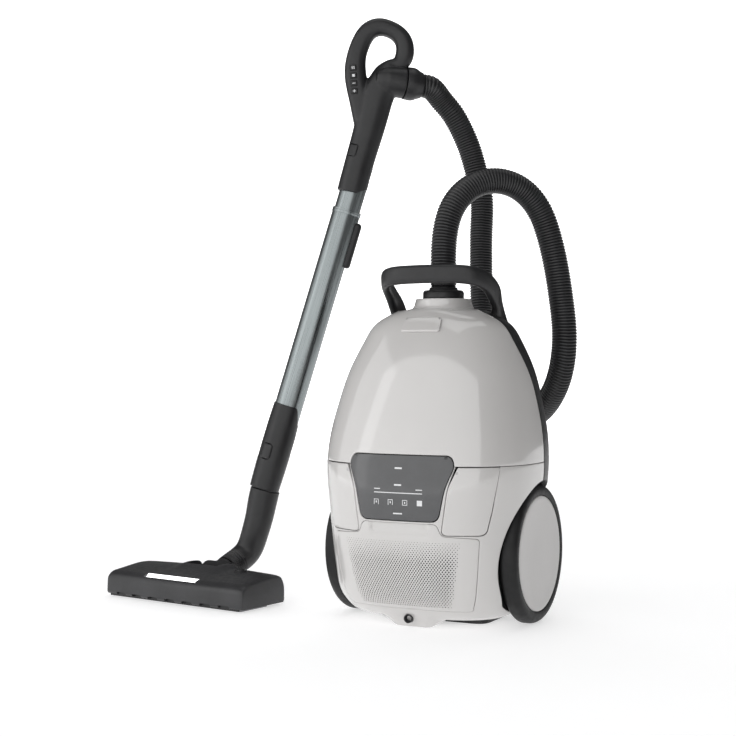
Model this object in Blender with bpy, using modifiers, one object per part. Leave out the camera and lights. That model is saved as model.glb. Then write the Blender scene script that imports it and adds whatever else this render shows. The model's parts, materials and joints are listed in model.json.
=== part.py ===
"""Canister vacuum cleaner parked on its rear end, with hose, grip, telescopic wand and power nozzle.

Frame: metres, +Z up, +X to the canister's right, -Y to its lid side. The origin is on the floor, under the
middle of the standing foot. X = 0 is the canister's plane of symmetry.
"""

import math

import bmesh
import bpy
import numpy as np
from mathutils import Matrix, Vector

# --- Overall sizes of the canister -----------------------------------------------------------------------
BODY_HALF_WIDTH = 0.150
BODY_FRONT = 0.152
BODY_REAR = 0.103
BODY_BASE = 0.012
BODY_HEIGHT = 0.415
WALL = 0.003
SEAM = 0.0006
CLEAR = 0.0003

# Envelope of the canister: height, half width, front depth and rear depth as shares, then squareness.
ENVELOPE = (
    (0.000, 0.747, 0.711, 0.699, 2.8),
    (0.055, 0.853, 0.849, 0.854, 2.8),
    (0.128, 0.893, 0.928, 0.932, 2.8),
    (0.236, 0.927, 0.980, 0.981, 2.7),
    (0.357, 0.967, 1.000, 1.000, 2.6),
    (0.477, 1.000, 0.990, 1.000, 2.6),
    (0.573, 1.000, 0.941, 0.990, 2.5),
    (0.694, 0.943, 0.845, 0.961, 2.4),
    (0.814, 0.847, 0.711, 0.874, 2.4),
    (0.911, 0.727, 0.572, 0.718, 2.3),
    (0.971, 0.587, 0.454, 0.534, 2.2),
    (1.000, 0.427, 0.375, 0.418, 2.1),
)
RING_SHARES = (0.0, 0.03, 0.08, 0.16, 0.26, 0.40, 0.52, 0.62, 0.71, 0.80, 0.87, 0.925, 0.965, 0.987, 1.0)
RING_POINTS = 32

# --- Seams and openings of the canister ------------------------------------------------------------------
INLET_Y = -0.004
LID_Z = 0.220
LID_HINGE_OUT = 0.001
LID_HINGE_UP = 0.008
PANEL_TOP = 0.234
PANEL_BOTTOM = 0.1475
PANEL_TOP_HALF = 0.077
PANEL_BOTTOM_HALF = 0.056
PEDAL_OUTER = 0.128
PEDAL_BOTTOM = 0.130
PEDAL_TRAVEL = 0.005
COVER_BOTTOM = 0.027
COVER_TOP_HALF = 0.106
COVER_BOTTOM_HALF = 0.090
COVER_GAP_TO_PANEL = 0.003
FRONT_SHELL_DEPTH = 0.075
FRONT_PRISM_LEAD = 0.030
PEDAL_REACH = 0.060
GRILLE_COLUMNS = 9
GRILLE_ROWS = 4
GRILLE_HOLE = 0.0032
GRILLE_BOTTOM = 0.044
GRILLE_TOP = 0.118
GRILLE_HALF = 0.070

# --- Inlet and hose --------------------------------------------------------------------------------------
COLLAR_FLANGE = 0.0505
COLLAR_NECK = 0.0425
COLLAR_TOP_RADIUS = 0.0385
COLLAR_HEIGHT = 0.0165
COLLAR_PIPE = 0.0265
COLLAR_PIPE_LENGTH = 0.032
INLET_BORE = 0.0222
CONNECTOR_PIPE = 0.0216
CONNECTOR_DOME = 0.0287
CONNECTOR_TOP = 0.0205
CONNECTOR_HEIGHT = 0.0155
CONNECTOR_BORE = 0.0165
BUTTON_TRAVEL = 0.0012
HOSE_DIAMETER = 0.0365
HOSE_SPACING = 0.045
HOSE_ROUTE = (
    (0.000, -0.004, 0.4600), (0.000, -0.004, 0.500), (0.002, -0.002, 0.538), (0.011, 0.006, 0.575),
    (0.031, 0.027, 0.603), (0.058, 0.054, 0.612), (0.083, 0.078, 0.602), (0.102, 0.096, 0.577),
    (0.115, 0.108, 0.537), (0.124, 0.115, 0.490), (0.130, 0.119, 0.444), (0.133, 0.122, 0.409),
    (0.131, 0.127, 0.369), (0.120, 0.137, 0.331), (0.099, 0.153, 0.299), (0.070, 0.175, 0.277),
    (0.037, 0.200, 0.270), (0.004, 0.225, 0.279), (-0.024, 0.246, 0.305), (-0.044, 0.260, 0.345),
    (-0.053, 0.267, 0.395), (-0.056, 0.269, 0.450), (-0.057, 0.269, 0.510), (-0.056, 0.268, 0.565),
    (-0.055, 0.266, 0.612), (-0.061, 0.259, 0.652), (-0.069, 0.250, 0.689), (-0.079, 0.239, 0.720),
    (-0.091, 0.226, 0.7465), (-0.1035, 0.2125, 0.766), (-0.1135, 0.2010, 0.7770), (-0.1222, 0.1870, 0.7818),
)

# --- Wheels, caster and foot -----------------------------------------------------------------------------
WHEEL_RADIUS = 0.095
HUB_RADIUS = 0.0785
WHEEL_INNER_X = 0.1195
WHEEL_OUTER_X = 0.1435
WELL_RADIUS = 0.100
WELL_X = 0.118
AXLE_RADIUS = 0.0060
CASTER_Z = 0.345
CASTER_RADIUS = 0.017
CASTER_WIDTH = 0.016
CASTER_TRAIL = 0.010
CASTER_PLATE = 0.019
FOOT_HALF_WIDTH = 0.080
FOOT_FRONT = 0.046
FOOT_REAR = 0.050

# --- Wand ------------------------------------------------------------------------------------------------
WAND_BASE = (-0.3668, 0.0546, 0.045)
WAND_LEAN_DEG = 16.6
WAND_PLANE_DEG = 27.0
NECK_TOP = 0.1168
SLEEVE_TOP = 0.245
SLEEVE_RADIUS = 0.0228
TUBE_RADIUS = 0.0217
TUBE_WALL = 0.0014
TUBE_BOTTOM = 0.200
TUBE_TOP = 0.567
INNER_RADIUS = 0.0200
INNER_BOTTOM = 0.250
INNER_TOP = 0.640
GRIP_BOTTOM = 0.594
GRIP_DEPTH = 0.028
PAD_BOTTOM = 0.480
PAD_TOP = 0.552
GRIP_BUTTON_TURN_DEG = -48.0
SLEEVE_BUTTON_TURN_DEG = -32.0
BUTTON_HALF = 0.0085
KEY_SPACING = 0.012
KEY_ROW = (-0.0412, 0.7449)
KEY_ROW_RUN = (-0.337, 0.941)
KEY_ACROSS = 0.0048
KEY_ALONG = 0.0040
KEY_PROUD = 0.0014
KEY_POCKET = 0.0042

# --- Hose cuff at the grip -------------------------------------------------------------------------------
CUFF_CENTRE = (-0.144, 0.168, 0.7855)
CUFF_AXIS = (0.749, 0.652, -0.116)
CUFF_START = 0.0010
CUFF_LENGTH = 0.0275
CUFF_RADIUS = 0.0255

# --- Nozzle ----------------------------------------------------------------------------------------------
NOZZLE_CENTRE = (-0.384, -0.054)
NOZZLE_YAW_DEG = -9.0
NOZZLE_HALF_WIDTH = 0.135
NOZZLE_HALF_DEPTH = 0.0545
NOZZLE_BOTTOM = 0.004
NOZZLE_FRONT_TOP = 0.036
NOZZLE_REAR_TOP = 0.047
NOZZLE_WALL = 0.003
YOKE_BACK = 0.038
YOKE_Z = 0.026
YOKE_RADIUS = 0.014
YOKE_HALF = 0.029
STUB_BACK = 0.072
STUB_Z = 0.038
BRUSH_BACK = -0.028
BRUSH_Z = 0.0185
BRUSH_RADIUS = 0.0115
BRUSH_HALF = 0.108
NOZZLE_WHEEL_RADIUS = 0.012


# --- Tools -----------------------------------------------------------------------------------------------
def clear_scene():
    for obj in list(bpy.data.objects):
        bpy.data.objects.remove(obj, do_unlink=True)


def new_collection(name, hidden=False):
    collection = bpy.data.collections.new(name)
    collection.hide_render = hidden
    bpy.context.scene.collection.children.link(collection)
    return collection


clear_scene()
PARTS = new_collection("vacuum_cleaner")
CUTTERS = new_collection("cutters", hidden=True)


def material(name, color, roughness, metallic=0.0):
    made = bpy.data.materials.get(name)
    if made is None:
        made = bpy.data.materials.new(name)
        made.use_nodes = True
        shader = made.node_tree.nodes["Principled BSDF"]
        shader.inputs["Base Color"].default_value = (*color, 1.0)
        shader.inputs["Roughness"].default_value = roughness
        shader.inputs["Metallic"].default_value = metallic
    return made


WHITE = material("white_shell", (0.80, 0.79, 0.77), 0.38)
BLACK = material("black_plastic", (0.025, 0.025, 0.027), 0.45)
DARK_PANEL = material("dark_panel", (0.10, 0.10, 0.11), 0.35)
RUBBER = material("tyre_rubber", (0.018, 0.018, 0.019), 0.70)
HOSE_BLACK = material("hose_plastic", (0.020, 0.020, 0.022), 0.40)
METAL = material("anodised_tube", (0.33, 0.37, 0.37), 0.30, 1.0)
LAMP = material("lamp_lens", (0.92, 0.94, 0.96), 0.20)
GREY = material("inner_grey", (0.30, 0.30, 0.31), 0.55)
STEEL = material("steel_pin", (0.60, 0.60, 0.62), 0.30, 1.0)
PAPER = material("bag_fleece", (0.78, 0.77, 0.73), 0.85)
FILTER = material("filter_fleece", (0.82, 0.83, 0.80), 0.90)
BOARD = material("circuit_board", (0.03, 0.16, 0.08), 0.50)
BRISTLE = material("brush_bristle", (0.05, 0.05, 0.06), 0.80)


def link(mesh, name, mat, hidden=False):
    """A new object for this mesh, in the collection of the parts or of the cutters."""
    obj = bpy.data.objects.new(name, mesh)
    (CUTTERS if hidden else PARTS).objects.link(obj)
    obj.hide_render = hidden
    if hidden:
        obj.display_type = "WIRE"
    if mat is not None:
        mesh.materials.clear()
        mesh.materials.append(mat)
    return obj


def face_outwards(bm):
    bmesh.ops.recalc_face_normals(bm, faces=bm.faces)
    if bm.calc_volume(signed=True) < 0:
        bmesh.ops.reverse_faces(bm, faces=bm.faces)


def finish_bmesh(bm, name, mat, hidden=False):
    face_outwards(bm)
    mesh = bpy.data.meshes.new(name)
    bm.to_mesh(mesh)
    bm.free()
    return link(mesh, name, mat, hidden)


def bake(obj, weld=0.0):
    """Turns the object into the plain mesh that its modifiers or its curve make."""
    bpy.context.view_layer.update()
    graph = bpy.context.evaluated_depsgraph_get()
    mesh = bpy.data.meshes.new_from_object(obj.evaluated_get(graph))
    mesh.transform(obj.matrix_world)
    name = obj.name
    mat = obj.data.materials[0] if obj.data.materials else None
    hidden = obj.hide_render
    bpy.data.objects.remove(obj, do_unlink=True)
    if weld:
        bm = bmesh.new()
        bm.from_mesh(mesh)
        bmesh.ops.remove_doubles(bm, verts=bm.verts, dist=weld)
        face_outwards(bm)
        bm.to_mesh(mesh)
        bm.free()
    return link(mesh, name, mat, hidden)


def combine(obj, other, operation, keep=False):
    """Boolean of two mesh objects, applied. The other object is removed unless it is kept."""
    step = obj.modifiers.new(operation.lower(), "BOOLEAN")
    step.operation = operation
    step.object = other
    made = bake(obj)
    if not keep:
        bpy.data.objects.remove(other, do_unlink=True)
    return made


def cut(obj, *others, keep=False):
    for other in others:
        obj = combine(obj, other, "DIFFERENCE", keep)
    return obj


def join(obj, *others):
    for other in others:
        obj = combine(obj, other, "UNION")
    return obj


def common(obj, other, keep=False):
    return combine(obj, other, "INTERSECT", keep)


def copy_of(obj, name, mat=None, hidden=False):
    return link(obj.data.copy(), name, mat, hidden)


def smooth(obj, angle_deg=35.0):
    obj.data.shade_smooth()
    obj.data.set_sharp_from_angle(angle=math.radians(angle_deg))
    return obj


def set_origin(obj, point):
    """Moves the object's origin to a point of its joint's axis and leaves its shape where it is."""
    obj.data.transform(Matrix.Translation(-Vector(point)))
    obj.location = point
    return obj


def box(name, low, high, mat=None, frame=None, bevel=0.0, segments=2, hidden=False):
    """A box between two corners of a frame, with rounded edges if a bevel is given."""
    low = Vector(low)
    high = Vector(high)
    bm = bmesh.new()
    bmesh.ops.create_cube(bm, size=1.0)
    size = high - low
    bmesh.ops.scale(bm, vec=size, verts=bm.verts)
    bmesh.ops.translate(bm, vec=(low + high) / 2, verts=bm.verts)
    if bevel:
        bmesh.ops.bevel(bm, geom=bm.edges[:], offset=bevel, segments=segments, affect="EDGES", profile=0.5)
    if frame is not None:
        bm.transform(frame)
    return finish_bmesh(bm, name, mat, hidden)


def cutter_box(low, high, frame=None, bevel=0.0):
    return box("cut", low, high, None, frame, bevel, hidden=True)


def cylinder(name, start, end, radius, mat=None, end_radius=None, segments=32, hidden=False):
    """A cylinder or cone between two points."""
    start = Vector(start)
    end = Vector(end)
    along = end - start
    bm = bmesh.new()
    bmesh.ops.create_cone(
        bm, cap_ends=True, segments=segments, radius1=radius,
        radius2=radius if end_radius is None else end_radius, depth=along.length,
    )
    turn = along.to_track_quat("Z", "Y").to_matrix().to_4x4()
    bm.transform(Matrix.Translation((start + end) / 2) @ turn)
    return finish_bmesh(bm, name, mat, hidden)


def cutter_cylinder(start, end, radius, segments=32):
    return cylinder("cut", start, end, radius, None, None, segments, hidden=True)


def turned(name, profile, mat, frame=None, steps=36, hidden=False):
    """A solid turned about the frame's Z axis. The profile is closed and runs down its outer side."""
    mesh = bpy.data.meshes.new(name)
    count = len(profile)
    closed = profile[0][0] > 0 or profile[-1][0] > 0
    edges = [(i, i + 1) for i in range(count - 1)]
    if closed:
        edges.append((count - 1, 0))
    mesh.from_pydata([(r, 0.0, z) for r, z in profile], edges, [])
    obj = link(mesh, name, mat, hidden)
    screw = obj.modifiers.new("turn", "SCREW")
    screw.steps = steps
    screw.render_steps = steps
    screw.use_merge_vertices = True
    screw.merge_threshold = 0.00001
    if frame is not None:
        obj.matrix_world = frame
    return bake(obj, weld=0.000001)


def outline(name, points, half, mat, frame, smooth_points=False, hole=None, resolution=4, hidden=False):
    """A flat outline in the frame's XY plane, extruded by half its thickness each way along Z."""
    curve = bpy.data.curves.new(name, "CURVE")
    curve.dimensions = "2D"
    curve.fill_mode = "BOTH"
    curve.extrude = half
    curve.resolution_u = resolution
    for loop in [points] + ([hole] if hole else []):
        if smooth_points:
            spline = curve.splines.new("BEZIER")
            spline.bezier_points.add(len(loop) - 1)
            for knot, (x, y) in zip(spline.bezier_points, loop):
                knot.co = (x, y, 0.0)
                knot.handle_left_type = "AUTO"
                knot.handle_right_type = "AUTO"
        else:
            spline = curve.splines.new("POLY")
            spline.points.add(len(loop) - 1)
            for knot, (x, y) in zip(spline.points, loop):
                knot.co = (x, y, 0.0, 1.0)
        spline.use_cyclic_u = True
    obj = bpy.data.objects.new(name, curve)
    (CUTTERS if hidden else PARTS).objects.link(obj)
    obj.hide_render = hidden
    if mat is not None:
        curve.materials.append(mat)
    obj.matrix_world = frame
    return bake(obj, weld=0.000002)


def rounded(points, radius, steps=3):
    """The corners of a convex or concave outline, each turned into an arc of points."""
    made = []
    count = len(points)
    for i in range(count):
        before = Vector(points[i - 1])
        here = Vector(points[i])
        after = Vector(points[(i + 1) % count])
        back = (before - here).normalized()
        forth = (after - here).normalized()
        reach = min(radius, (before - here).length * 0.45, (after - here).length * 0.45)
        for k in range(steps + 1):
            share = k / steps
            first = here + back * reach * (1 - share)
            second = here + forth * reach * share
            made.append(tuple(first.lerp(second, share)))
    return made


def sweep(name, stations, mat, count=20, hidden=False):
    """A closed loft through rings: centre, side axis, up axis, side half, up half, squareness."""
    bm = bmesh.new()
    rings = []
    for centre, side, up, side_half, up_half, square in stations:
        ring = []
        for k in range(count):
            angle = 2 * math.pi * k / count
            x = side_half * power(math.cos(angle), 2.0 / square)
            y = up_half * power(math.sin(angle), 2.0 / square)
            ring.append(bm.verts.new(Vector(centre) + Vector(side) * x + Vector(up) * y))
        rings.append(ring)
    loft_faces(bm, rings)
    return finish_bmesh(bm, name, mat, hidden)


def power(value, exponent):
    return math.copysign(abs(value) ** exponent, value)


def loft_faces(bm, rings):
    count = len(rings[0])
    for low, high in zip(rings, rings[1:]):
        for k in range(count):
            bm.faces.new((low[k], low[(k + 1) % count], high[(k + 1) % count], high[k]))
    bm.faces.new(rings[0][::-1])
    bm.faces.new(rings[-1])


def hermite(keys, values, at):
    """Smooth curve through the values at their keys."""
    keys = np.asarray(keys, float)
    values = np.asarray(values, float)
    slopes = np.gradient(values, keys, axis=0)
    i = int(np.clip(np.searchsorted(keys, at) - 1, 0, len(keys) - 2))
    width = keys[i + 1] - keys[i]
    t = min(max((at - keys[i]) / width, 0.0), 1.0)
    first = (2 * t**3 - 3 * t**2 + 1) * values[i] + (t**3 - 2 * t**2 + t) * width * slopes[i]
    second = (-2 * t**3 + 3 * t**2) * values[i + 1] + (t**3 - t**2) * width * slopes[i + 1]
    return first + second


def smooth_route(points, spacing):
    """Evenly spaced points of a smooth curve through the given points."""
    points = np.array(points)
    steps = np.linalg.norm(np.diff(points, axis=0), axis=1)
    keys = np.concatenate([[0.0], np.cumsum(steps)])
    fine = np.array([hermite(keys, points, at) for at in np.linspace(0.0, keys[-1], 800)])
    run = np.concatenate([[0.0], np.cumsum(np.linalg.norm(np.diff(fine, axis=0), axis=1))])
    count = max(int(round(run[-1] / spacing)), 2)
    wanted = np.linspace(0.0, run[-1], count + 1)
    return [tuple(np.array([np.interp(s, run, fine[:, k]) for k in range(3)])) for s in wanted]


def tube(name, points, radius, mat, sides=3, hidden=False):
    """A round bar or pipe along the points, as a curve with filled caps."""
    curve = bpy.data.curves.new(name, "CURVE")
    curve.dimensions = "3D"
    curve.bevel_depth = radius
    curve.bevel_resolution = sides
    curve.use_fill_caps = True
    spline = curve.splines.new("POLY")
    spline.points.add(len(points) - 1)
    for knot, point in zip(spline.points, points):
        knot.co = (*point, 1.0)
    obj = bpy.data.objects.new(name, curve)
    (CUTTERS if hidden else PARTS).objects.link(obj)
    obj.hide_render = hidden
    if mat is not None:
        curve.materials.append(mat)
    return obj


# --- Canister envelope -----------------------------------------------------------------------------------
def envelope(share):
    """(half width, front depth, rear depth, squareness) at a share of the height."""
    keys = [row[0] for row in ENVELOPE]
    values = np.array([row[1:] for row in ENVELOPE])
    half, front, rear, square = hermite(keys, values, share)
    return half * BODY_HALF_WIDTH, front * BODY_FRONT, rear * BODY_REAR, square


def height(share):
    return BODY_BASE + BODY_HEIGHT * share


def share_of(z):
    return (z - BODY_BASE) / BODY_HEIGHT


def section_ring(z, offset):
    """Points of the envelope at a height, moved out by an offset."""
    rise = min(max((share_of(z) - 0.45) / 0.25, 0.0), 1.0)
    half, front, rear, square = envelope(share_of(z - offset * rise))
    half, front, rear = half + offset, front + offset, rear + offset
    middle = (rear - front) / 2
    depth = (rear + front) / 2
    ring = []
    for k in range(RING_POINTS):
        angle = 2 * math.pi * (k + 0.5) / RING_POINTS
        x = half * power(math.cos(angle), 2 / square)
        y = middle + depth * power(math.sin(angle), 2 / square)
        ring.append((x, y, z))
    return ring


def envelope_solid(name, offset, hidden=True):
    """The canister's closed outer form, grown by an offset or shrunk by a negative one."""
    bm = bmesh.new()
    low = height(0.0) - offset
    high = height(1.0) + offset
    rings = []
    for share in RING_SHARES:
        z = low + (high - low) * share
        rings.append([bm.verts.new(point) for point in section_ring(z, offset)])
    loft_faces(bm, rings)
    return finish_bmesh(bm, name, None, hidden)


def front_y(x, z):
    """Y of the envelope's front face at a place."""
    half, front, rear, square = envelope(share_of(z))
    middle = (rear - front) / 2
    depth = (rear + front) / 2
    return middle - depth * (1 - min(abs(x) / half, 1.0) ** square) ** (1 / square)


def front_prism(points, reach=FRONT_SHELL_DEPTH):
    """A cutter with this XZ outline that runs through the front shell along Y, this far behind its face."""
    half = (FRONT_PRISM_LEAD + reach) / 2
    middle = -BODY_FRONT - FRONT_PRISM_LEAD + half
    frame = Matrix(((1, 0, 0, 0), (0, 0, -1, middle), (0, 1, 0, 0), (0, 0, 0, 1)))
    return outline("cut", points, half, None, frame, hidden=True)


def panel_outline(grow):
    mid = (PANEL_TOP + PANEL_BOTTOM) / 2
    mid_half = PANEL_BOTTOM_HALF + (PANEL_TOP_HALF - PANEL_BOTTOM_HALF) * 0.42
    right = [
        (PANEL_BOTTOM_HALF + grow, PANEL_BOTTOM - grow),
        (mid_half + grow, mid),
        (PANEL_TOP_HALF + grow, LID_Z + 0.001),
        (PANEL_TOP_HALF - 0.006 + grow, PANEL_TOP + grow),
    ]
    left = [(-x, z) for x, z in right[::-1]]
    return rounded(right + left, 0.009, 3)


def cover_outline(grow):
    top = PANEL_BOTTOM - COVER_GAP_TO_PANEL
    points = [
        (COVER_BOTTOM_HALF + grow, COVER_BOTTOM - grow),
        (COVER_TOP_HALF + grow, PEDAL_BOTTOM - 0.004 + grow),
        (PANEL_BOTTOM_HALF + 0.004 + grow, PEDAL_BOTTOM - 0.001 + grow),
        (PANEL_BOTTOM_HALF - 0.002 + grow, top + grow),
    ]
    return rounded(points + [(-x, z) for x, z in points[::-1]], 0.006, 3)


def pedal_outline(side, grow):
    """The wing between the panel and the side of the body."""
    mid = (PANEL_TOP + PANEL_BOTTOM) / 2
    mid_half = PANEL_BOTTOM_HALF + (PANEL_TOP_HALF - PANEL_BOTTOM_HALF) * 0.42
    inner = SEAM * 2.5 + 0.002
    points = [
        (PANEL_BOTTOM_HALF + inner - grow, PEDAL_BOTTOM - grow),
        (WELL_X - WALL - 0.0025 + grow, PEDAL_BOTTOM - grow),
        (PEDAL_OUTER - 0.008 + grow, PEDAL_BOTTOM + 0.035),
        (PEDAL_OUTER + grow, LID_Z - SEAM + grow),
        (PANEL_TOP_HALF + inner - grow, LID_Z - SEAM + grow),
        (mid_half + inner - grow, mid),
    ]
    return rounded([(side * x, z) for x, z in points], 0.007, 3)


def wheel_wells(extra):
    made = []
    for side in (-1, 1):
        start = (side * (WELL_X - extra), 0.0, WHEEL_RADIUS)
        end = (side * (BODY_HALF_WIDTH + 0.05), 0.0, WHEEL_RADIUS)
        made.append(cutter_cylinder(start, end, WELL_RADIUS + extra, 40))
    return made


def canister_shell():
    """The whole hollow body, from which the outer pieces are cut."""
    outer = cut(envelope_solid("shell", 0.0), *wheel_wells(0.0))
    cavity = cut(envelope_solid("cavity", -WALL), *wheel_wells(WALL))
    shell = cut(outer, cavity)
    top = height(1.0)
    shell = cut(
        shell, cutter_cylinder((0, INLET_Y, top - 0.03), (0, INLET_Y, top + 0.02), COLLAR_FLANGE + SEAM, 32)
    )
    axle = BODY_HALF_WIDTH + 0.05
    shell = cut(
        shell, cutter_cylinder((-axle, 0, WHEEL_RADIUS), (axle, 0, WHEEL_RADIUS), AXLE_RADIUS + CLEAR, 16)
    )
    return shell


def half_space(low, high):
    reach = 1.0
    bounds_low = [-reach if value is None else value for value in low]
    bounds_high = [reach if value is None else value for value in high]
    return cutter_box(bounds_low, bounds_high)


def build_chassis(shell):
    piece = common(
        copy_of(shell, "chassis_shell", BLACK), half_space((None, INLET_Y + SEAM / 2, None), (None,) * 3)
    )
    return smooth(piece)


def build_lid(front):
    piece = common(
        copy_of(front, "dust_lid", WHITE), half_space((None, None, LID_Z + SEAM / 2), (None,) * 3)
    )
    piece = cut(piece, front_prism(panel_outline(SEAM)))
    return smooth(set_origin(piece, (0.0, lid_hinge()[0], lid_hinge()[1])))


def lid_hinge():
    """(y, z) of the lid's hinge axis, just outside the skin at the lower edge of the lid."""
    z = LID_Z + LID_HINGE_UP
    return -BODY_FRONT - LID_HINGE_OUT, z


def cover_hinge():
    """(y, z) of the exhaust cover's hinge axis, just outside the skin at the cover's lower edge."""
    return front_y(0.0, COVER_BOTTOM) - 0.003, COVER_BOTTOM - 0.002


def build_front_pieces(front):
    """Body shell, control panel, pedals and exhaust cover: the front below the lid's seam."""
    lower = common(
        copy_of(front, "body_shell", WHITE), half_space((None,) * 3, (None, None, LID_Z - SEAM / 2))
    )
    panel = smooth(
        common(copy_of(front, "control_panel", DARK_PANEL), front_prism(panel_outline(-SEAM / 2)))
    )
    for side, label in ((-1, "left"), (1, "right")):
        pedal = common(
            copy_of(lower, "pedal_" + label, WHITE),
            front_prism(pedal_outline(side, -SEAM / 2), PEDAL_REACH),
        )
        smooth(set_origin(pedal, (side * 0.1, front_y(0.1, PEDAL_BOTTOM), (LID_Z + PEDAL_BOTTOM) / 2)))
    cover = common(copy_of(lower, "exhaust_cover", WHITE), front_prism(cover_outline(-SEAM / 2)))
    cover = cut(cover, grille_cutter(), recess_cutter())
    smooth(set_origin(cover, (0.0, *cover_hinge())))
    lower = cut(lower, front_prism(panel_outline(SEAM)), front_prism(cover_outline(SEAM / 2)))
    for side in (-1, 1):
        lower = cut(lower, front_prism(pedal_outline(side, SEAM / 2), PEDAL_REACH))
    return add_beak(lower)


def recess_cutter():
    """A shallow finger recess at the top edge of the exhaust cover."""
    top = PANEL_BOTTOM - COVER_GAP_TO_PANEL
    y = front_y(0.0, top)
    return cutter_box((-0.040, y - 0.02, top - 0.012), (0.040, y + 0.0012, top + 0.02))


def grille_cutter():
    """Staggered round air holes through the exhaust cover, as one cutter."""
    bm = bmesh.new()
    pitch_x = 2 * GRILLE_HALF / (GRILLE_COLUMNS - 1)
    pitch_z = (GRILLE_TOP - GRILLE_BOTTOM) / (GRILLE_ROWS - 1)
    for row in range(GRILLE_ROWS):
        stagger = 0.5 * (row % 2)
        for column in range(GRILLE_COLUMNS - row % 2):
            x = -GRILLE_HALF + (column + stagger) * pitch_x
            z = GRILLE_BOTTOM + row * pitch_z
            made = bmesh.ops.create_cone(
                bm, cap_ends=True, segments=6, radius1=GRILLE_HOLE, radius2=GRILLE_HOLE, depth=0.08
            )
            turn = Matrix.Rotation(math.pi / 2, 4, "X")
            bmesh.ops.transform(
                bm, matrix=Matrix.Translation((x, -BODY_FRONT + 0.01, z)) @ turn, verts=made["verts"]
            )
    return finish_bmesh(bm, "cut", None, True)


def add_beak(lower):
    """The spout at the bottom of the front, with the hole of the cord outlet."""
    y = front_y(0.0, COVER_BOTTOM)
    beak = box(
        "beak", (-0.024, y + 0.004, 0.0035), (0.024, y + 0.040, COVER_BOTTOM - 0.004), WHITE, bevel=0.004
    )
    lower = join(lower, beak)
    lower = cut(lower, cutter_cylinder((0, y - 0.02, 0.0135), (0, y + 0.034, 0.0135), 0.0064, 20))
    return smooth(lower)


def build_cord_outlet():
    y = front_y(0.0, COVER_BOTTOM) + 0.004
    frame = Matrix.Translation((0, y - 0.0015, 0.0135)) @ Matrix.Rotation(-math.pi / 2, 4, "X")
    profile = [(0.0048, 0.0), (0.0061, 0.0), (0.0061, 0.024), (0.0034, 0.024), (0.0034, 0.003)]
    smooth(turned("cord_outlet", profile[::-1], BLACK, frame, 20))


def show_part(obj, name, mat):
    """Makes a part of a solid that was built as a cutter."""
    obj.name = name
    obj.hide_render = False
    obj.display_type = "TEXTURED"
    CUTTERS.objects.unlink(obj)
    PARTS.objects.link(obj)
    obj.data.materials.clear()
    obj.data.materials.append(mat)


def build_latch():
    """The lid latch: a thin plate that follows the lid's skin, hinged at its lower edge."""
    low = height(0.925)
    high = height(0.970)
    outer = envelope_solid("latch_skin", 0.0042)
    inner = envelope_solid("latch_base", 0.0008)
    plate = cut(outer, inner)
    points = rounded([(-0.029, low), (0.029, low), (0.027, high), (-0.027, high)], 0.004, 3)
    plate = common(plate, front_prism(points))
    plate = common(plate, half_space((None,) * 3, (None, -0.03, None)))
    show_part(plate, "lid_latch", WHITE)
    smooth(set_origin(plate, (0.0, front_y(0.0, low) - 0.002, low)))


# --- Inlet -----------------------------------------------------------------------------------------------
def inlet_frame(z):
    return Matrix.Translation((0, INLET_Y, z))


def collar_top():
    return height(1.0) + COLLAR_HEIGHT


def build_collar():
    top = height(1.0)
    profile = [
        (INLET_BORE, collar_top()),
        (COLLAR_TOP_RADIUS - 0.0015, collar_top()),
        (COLLAR_TOP_RADIUS, collar_top() - 0.0015),
        (COLLAR_NECK - 0.001, top + 0.004),
        (COLLAR_NECK + 0.002, top + 0.001),
        (COLLAR_FLANGE, top - 0.001),
        (COLLAR_FLANGE, top - 0.005),
        (COLLAR_PIPE, top - 0.005),
        (COLLAR_PIPE, top - COLLAR_PIPE_LENGTH),
        (INLET_BORE, top - COLLAR_PIPE_LENGTH),
    ]
    smooth(turned("inlet_collar", profile, WHITE, inlet_frame(0.0), 32))


def build_connector():
    """The bayonet end of the hose: a dome over the collar and a pipe down its bore."""
    low = collar_top() + 0.0005
    high = low + CONNECTOR_HEIGHT
    profile = [
        (CONNECTOR_BORE, high),
        (CONNECTOR_TOP, high),
        (CONNECTOR_DOME - 0.003, low + 0.009),
        (CONNECTOR_DOME, low + 0.003),
        (CONNECTOR_DOME, low),
        (CONNECTOR_PIPE, low),
        (CONNECTOR_PIPE, low - COLLAR_PIPE_LENGTH + 0.004),
        (CONNECTOR_BORE, low - COLLAR_PIPE_LENGTH + 0.004),
    ]
    dome = turned("hose_connector", profile, BLACK, inlet_frame(0.0), 28)
    z = low + 0.0052
    for side, label in ((-1, "left"), (1, "right")):
        pocket_low = (min(side * 0.0225, side * 0.04), INLET_Y - 0.0062, z - 0.0032)
        pocket_high = (max(side * 0.0225, side * 0.04), INLET_Y + 0.0062, z + 0.0032)
        dome = cut(dome, cutter_box(pocket_low, pocket_high))
        inner = side * (0.0225 + BUTTON_TRAVEL + CLEAR)
        outer = side * (CONNECTOR_DOME + 0.0006)
        button = box(
            "connector_button_" + label,
            (min(inner, outer), INLET_Y - 0.0058, z - 0.0028),
            (max(inner, outer), INLET_Y + 0.0058, z + 0.0028),
            BLACK, bevel=0.0008,
        )
        set_origin(button, (outer, INLET_Y, z))
    smooth(dome)


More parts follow.
